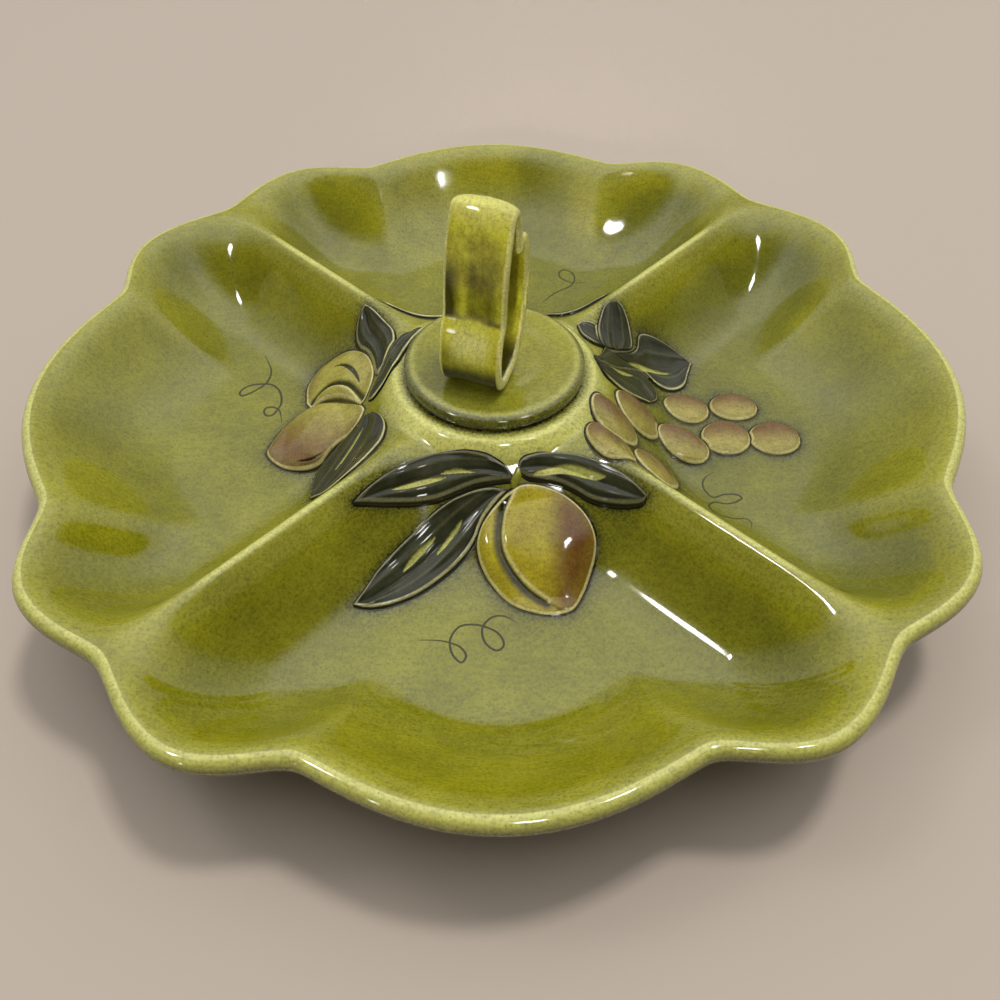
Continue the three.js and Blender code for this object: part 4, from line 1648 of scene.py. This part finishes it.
@dataclass
class Lid:
    """The lift-off lid: a disc with a locating ring, and a strap handle bent into a scroll."""

    underside: float = 48.8
    radius: float = 31.5
    edge_height: float = 3.4
    crown: float = 2.2
    rounding: float = 4.5
    under_rounding: float = 1.8
    ring_outer: float = 25.2
    ring_inner: float = 21.2
    ring_end: float = 42.8
    ring_corner: float = 0.6
    # Radii where the underside's flat rings lie, inside and outside the locating ring
    under_radii: Pair = (10.0, 28.5)
    # Heights of the side's rings over the underside
    side_heights: Pair = (2.2, 2.9)
    dip: float = 0.45
    dip_radius: float = 17.5
    dip_half: float = 2.2
    disc_steps: int = 160
    seat_gap: float = 0.1
    handle_rise: float = 64.0
    handle_depth: float = 30.5
    strap_width: float = 21.5
    strap_thickness: float = 4.6
    strap_dish: float = 0.8
    rear_dish: float = 0.3
    strap_crown: float = 1.6
    strap_steps: int = 90
    section_steps: int = 96
    # Powers under 1 square off the strap's oval section, across it and through it
    section_powers: Pair = (0.3, 0.5)
    handle_turn: float = -22.0
    handle_offset: Pair = (-2.8, -4.2)
    pinch: float = 27.0
    # Height of the middle of the bulge under the pinch, painted pale as painted light where its face turns up
    bulge: float = 19.0
    # The straps are fused on a grid this fine, then smoothed this often
    voxel: float = 0.5
    smooth_rounds: int = 5
    front_line: tuple[Pair, ...] = (
        (0.34, 0.045), (0.2, 0.04), (0.1, 0.06), (0.055, 0.12), (0.045, 0.2), (0.07, 0.28), (0.125, 0.35),
        (0.185, 0.4), (0.215, 0.45), (0.23, 0.53), (0.27, 0.64), (0.355, 0.785), (0.445, 0.89),
        (0.535, 0.945), (0.615, 0.925), (0.66, 0.84), (0.675, 0.7),
    )
    rear_line: tuple[Pair, ...] = (
        (0.69, 0.745), (0.815, 0.735), (0.9, 0.63), (0.91, 0.55), (0.885, 0.43), (0.81, 0.28),
        (0.685, 0.155), (0.52, 0.065), (0.3, 0.045),
    )

    @property
    def top(self) -> float:
        """Height of the disc's top."""
        return self.underside + self.edge_height + self.crown

    def disc_profile(self) -> list[tuple[float, float, float, float]]:
        """Draws the disc from the middle of its underside, out and up to the middle of its top.

        Returns:
            Radius, height, and how thin the glaze is and how dark the shade painted on it is, for each ring.
        """
        corner = self.ring_corner
        ring = [
            (self.under_radii[0], self.underside), (self.ring_inner - corner, self.underside),
            (self.ring_inner, self.underside - corner), (self.ring_inner, self.ring_end + corner),
            (self.ring_inner + corner, self.ring_end), (self.ring_outer - corner, self.ring_end),
            (self.ring_outer, self.ring_end + corner), (self.ring_outer, self.underside - corner),
            (self.ring_outer + corner, self.underside), (self.under_radii[1], self.underside),
        ]
        shadowed = [
            (self.radius - self.under_rounding * (1 - math.sin(tilt)),
             self.underside + self.under_rounding * (1 - math.cos(tilt)))
            for tilt in np.radians(np.linspace(0, 80, 7))
        ]
        shoulder = self.underside + self.edge_height
        edge = [
            (self.radius - self.rounding * (1 - math.cos(tilt)), shoulder + self.crown * math.sin(tilt))
            for tilt in np.radians(np.linspace(0, 90, 14))
        ]
        side = [(self.radius, self.underside + height) for height in self.side_heights]
        radii = np.r_[np.linspace(self.radius - self.rounding - 0.5, 12.0, 26), 8.0, 4.0]
        dips = self.dip * np.exp(-((radii - self.dip_radius) / self.dip_half) ** 2)
        face = list(zip(radii, self.top - dips))
        # Painted shade under the edge and up its side, thin glaze over its shoulder
        glazed = (
            (ring, 0.1, 0.0), (shadowed, 0.0, 0.95), (side, 0.0, 0.95),
            (edge[:8], 0.05, 0.6), (edge[8:12], 0.35, 0.0), (edge[12:], 0.1, 0.0), (face, 0.05, 0.0),
        )
        return [(r, z, thin, dark) for part, thin, dark in glazed for r, z in part]

    def build_disc(self) -> bpy.types.Object:
        """Builds the disc.

        Returns:
            The disc's object.
        """
        profile = np.array(self.disc_profile())
        turn = np.linspace(0.0, 2 * math.pi, self.disc_steps, endpoint=False)
        radius, height, thin, dark = (profile[:, k:k + 1] * np.ones_like(turn) for k in range(4))
        loops = np.dstack([radius * np.cos(turn), radius * np.sin(turn), height])
        for mark in (thin, dark):
            mark[1:-1] = (mark[:-2] + 2 * mark[1:-1] + mark[2:]) / 4
        # Painted shadow of the handle, darkening the lid towards its front left
        pool = 0.85 * soft_step(8.0, -24.0, 0.7 * (loops[..., 0] + loops[..., 1]))
        return Shell.loft(loops, {"thin": thin, "halo": dark, "pool": pool}).to_object("lid_disc_body")

    def strap(self, line: Sequence[Pair], dish: float) -> Shell:
        """A strap along a line of depth and rise shares, with a rounded section and dished outer face.

        Args:
            line: The strap's middle line.
            dish: Depth of the hollow along its outer face.

        Returns:
            The strap's closed skin, with depth, width and rise along X, Y and Z.
        """
        size = np.array([self.handle_depth, self.handle_rise])
        middle = smooth_line([np.array(point) * size for point in line], self.strap_steps)
        way = np.gradient(middle, axis=0)
        way /= np.linalg.norm(way, axis=1)[:, None]
        outward = np.column_stack([-way[:, 1], way[:, 0]])
        half_width, half_thick = self.strap_width / 2, self.strap_thickness / 2
        turn = np.linspace(0.0, 2 * math.pi, self.section_steps, endpoint=False)
        waves = (np.cos(turn), half_width), (np.sin(turn), half_thick)
        across, through = (
            np.sign(wave) * np.abs(wave) ** power * half
            for (wave, half), power in zip(waves, self.section_powers)
        )
        share = across / half_width
        high = soft_step(0.74, 0.92, middle[:, 1:] / self.handle_rise)
        face = high * self.strap_crown * (0.5 - share ** 2) - (1 - high) * dish * (1 - share ** 4)
        through = through + face * (through > 0)
        depth = middle[:, :1] + outward[:, :1] * through
        rise = middle[:, 1:] + outward[:, 1:] * through
        return Shell.loft(np.dstack([depth, np.broadcast_to(across, depth.shape), rise]))

    def handle_marks(self, depth: np.ndarray, across: np.ndarray, rise: np.ndarray) -> dict[str, np.ndarray]:
        """Marks where the handle's glaze ran thin, pooled and gathered dark, with painted light on the bulge
        under the pinch and painted shade in the pinch and round the foot.

        Args:
            depth: Distance of each point back from the handle's front.
            across: Distance from the strap's middle.
            rise: Height over the lid.

        Returns:
            A number for each point, by the mark's name.
        """
        side = across / (self.strap_width / 2)
        aside = np.abs(side)
        front = soft_step(0.6, 0.45, depth / self.handle_depth)
        over = soft_step(0.86, 0.97, rise / self.handle_rise)
        # The darker panel on the face over the pinch, darkest down its middle and beside its left edge
        level = (rise - self.pinch) / (self.handle_rise - self.pinch)
        panel = soft_step(0.8, 0.68, level) * soft_step(self.pinch - 1, self.pinch + 1, rise)
        middle = soft_step(0.35, 0.05, side) * soft_step(-0.9, -0.5, side)
        left_edge = soft_step(0.2, 0.78, aside) * soft_step(0.95, 0.88, aside) * np.where(across > 0, 1.1, 0.1)
        pinched = np.exp(-((rise - self.pinch) / 0.8) ** 2) * soft_step(0.1, 0.5, aside)
        bulge = np.exp(-((rise - self.bulge) / 5.5) ** 2) * soft_step(0.85, 0.3, aside)
        return {
            # Thin glaze on the edges and over the top, and painted light on the bulge under the pinch, whose
            # face turns up
            "thin": np.maximum.reduce([soft_step(0.86, 0.92, aside), 0.6 * over, front * bulge]),
            # Painted shade with pooled glaze in the pinch and where the foot rounds under
            "crease": np.maximum(0.6 * front * pinched, 0.75 * soft_step(11.5, 7.0, rise)),
            # Darker at the foot with painted shade and pooled glaze, and over the pinch
            "pool": np.maximum.reduce([
                0.7 * soft_step(15.5, 8.5, rise),
                left_edge * np.maximum(panel * soft_step(0.85, 0.1, level), 0.5 * soft_step(22.0, 14.0, rise)),
                panel * front * (0.24 + 0.12 * middle + 0.35 * middle * soft_step(0.7, 0.3, level)),
            ]),
        }

    def build_handle(self) -> bpy.types.Object:
        """Builds the handle: both straps, fused and smoothed as wet clay is.

        Returns:
            The handle's object.
        """
        lines = (self.front_line, self.strap_dish), (self.rear_line, self.rear_dish)
        straps = Shell.joined([self.strap(line, dish) for line, dish in lines])
        rough = straps.to_object("lid_handle_straps")
        remesh = rough.modifiers.new("fuse", "REMESH")
        remesh.mode = "VOXEL"
        remesh.voxel_size = self.voxel * MM
        remesh.use_smooth_shade = True
        smooth = rough.modifiers.new("smooth", "SMOOTH")
        smooth.factor = 0.5
        smooth.iterations = self.smooth_rounds
        shown = rough.evaluated_get(bpy.context.evaluated_depsgraph_get())
        mesh = bpy.data.meshes.new_from_object(shown)
        mesh.name = "lid_handle_body"
        bpy.data.objects.remove(rough)
        co = np.zeros(len(mesh.vertices) * 3)
        mesh.vertices.foreach_get("co", co)
        set_marks(mesh, self.handle_marks(*co.reshape(-1, 3).T / MM))
        made = bpy.data.objects.new("lid_handle_body", mesh)
        bpy.context.scene.collection.objects.link(made)
        turn = Matrix.Rotation(math.radians(90 + self.handle_turn), 4, "Z")
        centre = Matrix.Translation((-self.handle_depth / 2 * MM, 0, 0))
        place = Matrix.Translation([*(v * MM for v in self.handle_offset), (self.top + self.seat_gap) * MM])
        mesh.transform(place @ turn @ centre)
        return made

    def build(self, palette: Palette) -> None:
        """Builds the lid's pieces and dresses them."""
        palette.dress(self.build_disc(), TRAY_GLAZE, Slot.GLAZE, Body.LID, "lid_disc")
        palette.dress(self.build_handle(), HANDLE_GLAZE, Slot.GLAZE, Body.LID, "lid_handle")


# The studio


class LampUse(Enum):
    """What a lamp is there for."""

    LIGHT = "soft light that the glaze doesn't mirror"
    HIGHLIGHT = "a small bright spot that only the glaze's gloss picks up"


@dataclass(frozen=True)
class Lamp:
    """A square soft lamp, by the way that it lies in, its distance and its size in metres."""

    name: str
    azimuth: float
    elevation: float
    distance: float
    size: Pair
    watts: float
    use: LampUse
    # Height over the table that it is aimed at, and the angle that its light fans out over
    aim: float = 0.0
    spread: float = 180.0


@dataclass
class Studio:
    """A pale floor and backdrop, soft lamps and the camera."""

    floor_colour: str = "#b0a294"
    floor_roughness: float = 0.75
    floor_ior: float = 1.45
    floor_reach: float = 4.0
    backdrop_height: float = 4.0
    backdrop_steps: int = 96
    camera_place: tuple[float, float, float] = (-1.90, -263.23, 277.58)
    camera_forward: tuple[float, float, float] = (0.0086, 0.6616, -0.7498)
    camera_up: tuple[float, float, float] = (0.0191, 0.7496, 0.6617)
    # Focal length in pixels over the picture's width
    focal_share: float = 0.9834
    sensor: float = 36.0
    clip: Pair = (0.01, 50.0)
    world_bright: str = "#f6f7f8"
    world_dim: str = "#2e2d2a"
    world_strength: float = 1.45
    # The world dims towards the front and downwards, where this much of Z plus Y falls through this range
    world_tilt: float = 0.8
    world_lift: Pair = (0.12, 0.48)
    # It also dims low behind the dish and to its sides, over these parts of Y and X, to these shares
    world_behind: Pair = (0.42, 0.95)
    world_behind_share: float = 0.22
    world_aside: Pair = (0.45, 0.95)
    world_aside_share: float = 0.3
    lamps: tuple[Lamp, ...] = (
        Lamp("key_right", 58, 75, 2.5, (0.34, 0.34), 28.0, LampUse.LIGHT),
        Lamp("fill_left", -65, 60, 2.5, (0.5, 0.5), 5.5, LampUse.LIGHT),
        Lamp("fill_front", 168, 70, 2.5, (0.6, 0.6), 2.2, LampUse.LIGHT),
        Lamp("fill_handle", 190, 25, 1.5, (0.1, 0.1), 0.032, LampUse.LIGHT, 0.072, 9.0),
        Lamp("ceiling_left", -119, 49, 1.4, (0.15, 0.10), 1.9, LampUse.HIGHLIGHT),
        Lamp("ceiling_right", 135, 56, 1.4, (0.15, 0.10), 1.9, LampUse.HIGHLIGHT),
        Lamp("ceiling_near", 171, 43, 1.4, (0.19, 0.15), 2.5, LampUse.HIGHLIGHT),
        Lamp("window_front", 217, 12, 1.4, (0.05, 0.16), 0.4, LampUse.HIGHLIGHT),
    )

    def build(self) -> None:
        """Builds the floor, the backdrop, the world, the lamps and the camera."""
        matt = self.matt_board()
        self.build_floor(matt)
        self.build_backdrop(matt)
        self.build_world()
        for lamp in self.lamps:
            self.build_lamp(lamp)
        self.build_camera()

    def matt_board(self) -> bpy.types.Material:
        """Makes painted board, which is even and matt, with no grain to see.

        Returns:
            The material.
        """
        made = bpy.data.materials.new("matt_painted_board")
        made.use_nodes = True
        tree = made.node_tree
        tree.nodes.clear()
        surface = add_node(tree, "ShaderNodeBsdfPrincipled", {
            "Base Color": linear(self.floor_colour), "Roughness": self.floor_roughness, "IOR": self.floor_ior,
        })
        add_node(tree, "ShaderNodeOutputMaterial", {"Surface": surface.outputs["BSDF"]})
        return made

    @staticmethod
    def staged(
        name: str,
        points: list[tuple[float, float, float]],
        faces: list[tuple[int, ...]],
        finish: bpy.types.Material,
    ) -> bpy.types.Object:
        """Makes a piece of the studio, in metres.

        Args:
            name: Its name.
            points: Its points.
            faces: Its faces.
            finish: Its material.

        Returns:
            The piece.
        """
        mesh = bpy.data.meshes.new(name)
        mesh.from_pydata(points, [], faces)
        mesh.shade_smooth()
        mesh.materials.append(finish)
        made = bpy.data.objects.new(name, mesh)
        bpy.context.scene.collection.objects.link(made)
        return made

    def build_floor(self, finish: bpy.types.Material) -> None:
        """Lays the plain, pale, matt floor that the dish stands on.

        Args:
            finish: Its material.
        """
        reach = self.floor_reach
        corners = [(-reach, -reach, 0.0), (reach, -reach, 0.0), (reach, reach, 0.0), (-reach, reach, 0.0)]
        self.staged("floor", corners, [(0, 1, 2, 3)], finish)

    def build_backdrop(self, finish: bpy.types.Material) -> None:
        """Puts a round wall of the floor's colour behind, which the dish neither mirrors nor takes light from.

        Args:
            finish: Its material.
        """
        turns = np.linspace(0.0, 2 * math.pi, self.backdrop_steps, endpoint=False)
        ring = [(self.floor_reach * math.cos(t), self.floor_reach * math.sin(t)) for t in turns]
        points = [(x, y, z) for z in (0.0, self.backdrop_height) for x, y in ring]
        count = len(ring)
        faces = [(k, k + count, (k + 1) % count + count, (k + 1) % count) for k in range(count)]
        wall = self.staged("backdrop", points, faces, finish)
        wall.visible_diffuse = wall.visible_glossy = wall.visible_shadow = False

    def build_world(self) -> None:
        """Soft light: brightest overhead, dimmer low behind the dish and dim in front of it."""
        world = bpy.data.worlds.new("studio")
        bpy.context.scene.world = world
        world.use_nodes = True
        tree = world.node_tree
        tree.nodes.clear()
        way = add_node(tree, "ShaderNodeTexCoord").outputs["Generated"]
        parts = add_node(tree, "ShaderNodeSeparateXYZ", {"Vector": way})
        aside = add_node(tree, "ShaderNodeMath", {0: parts.outputs["X"]}, operation="ABSOLUTE")
        lift = add_node(tree, "ShaderNodeMath", {
            0: parts.outputs["Z"], 1: self.world_tilt, 2: parts.outputs["Y"],
        }, operation="MULTIPLY_ADD")
        share: object = 1.0
        for value, (low, high), start, end in (
            (lift.outputs["Value"], self.world_lift, 0.0, 1.0),
            (parts.outputs["Y"], self.world_behind, 1.0, self.world_behind_share),
            (aside.outputs["Value"], self.world_aside, 1.0, self.world_aside_share),
        ):
            part = add_node(tree, "ShaderNodeMapRange", {
                "Value": value, "From Min": low, "From Max": high, "To Min": start, "To Max": end,
            }, interpolation_type="SMOOTHSTEP")
            share = add_node(tree, "ShaderNodeMath", {
                0: share, 1: part.outputs["Result"],
            }, operation="MULTIPLY").outputs["Value"]
        colour = EarthenwareGlaze.mixed(tree, share, linear(self.world_dim), linear(self.world_bright))
        light = add_node(tree, "ShaderNodeBackground", {"Color": colour, "Strength": self.world_strength})
        add_node(tree, "ShaderNodeOutputWorld", {"Surface": light.outputs["Background"]})

    def build_lamp(self, lamp: Lamp) -> None:
        """Hangs a soft lamp that faces the dish.

        Args:
            lamp: The lamp.
        """
        data = bpy.data.lights.new(lamp.name, "AREA")
        data.shape = "RECTANGLE"
        data.size, data.size_y = lamp.size
        data.energy = lamp.watts
        data.spread = math.radians(lamp.spread)
        turn, lift = math.radians(lamp.azimuth), math.radians(lamp.elevation)
        way = Vector((math.sin(turn) * math.cos(lift), math.cos(turn) * math.cos(lift), math.sin(lift)))
        made = bpy.data.objects.new(lamp.name, data)
        made.location = Vector((0.0, 0.0, lamp.aim)) + way * lamp.distance
        made.visible_glossy = lamp.use is LampUse.HIGHLIGHT
        made.visible_diffuse = lamp.use is LampUse.LIGHT
        made.rotation_euler = way.to_track_quat("Z", "Y").to_euler()
        bpy.context.scene.collection.objects.link(made)

    def build_camera(self) -> None:
        """The camera, where the picture was taken from."""
        data = bpy.data.cameras.new("camera")
        data.sensor_width = self.sensor
        data.lens = self.focal_share * self.sensor
        data.clip_start, data.clip_end = self.clip
        forward, up = Vector(self.camera_forward).normalized(), Vector(self.camera_up)
        right = forward.cross(up).normalized()
        up = right.cross(forward)
        made = bpy.data.objects.new("camera", data)
        made.matrix_world = Matrix.Translation(Vector(self.camera_place) * MM) @ Matrix((
            (right.x, up.x, -forward.x), (right.y, up.y, -forward.y), (right.z, up.z, -forward.z),
        )).to_4x4()
        bpy.context.scene.collection.objects.link(made)
        bpy.context.scene.camera = made


def main() -> None:
    logging.basicConfig(level=logging.INFO, format="%(name)s: %(message)s")
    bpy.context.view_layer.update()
    bpy.context.scene.view_settings.view_transform = "Standard"
    palette = Palette()
    tray = Tray(TrayForm())
    footprints = [line for motif in MOTIFS for line in motif.footprints(tray.form)]
    palette.dress(tray.build(footprints), TRAY_GLAZE, Slot.GLAZE, Body.TRAY, "tray")
    for motif in MOTIFS:
        motif.build(tray.form, palette)
    Lid().build(palette)
    Studio().build()
    LOG.info("frame nodes: %d", len(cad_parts))


if __name__ == "__main__":
    main()
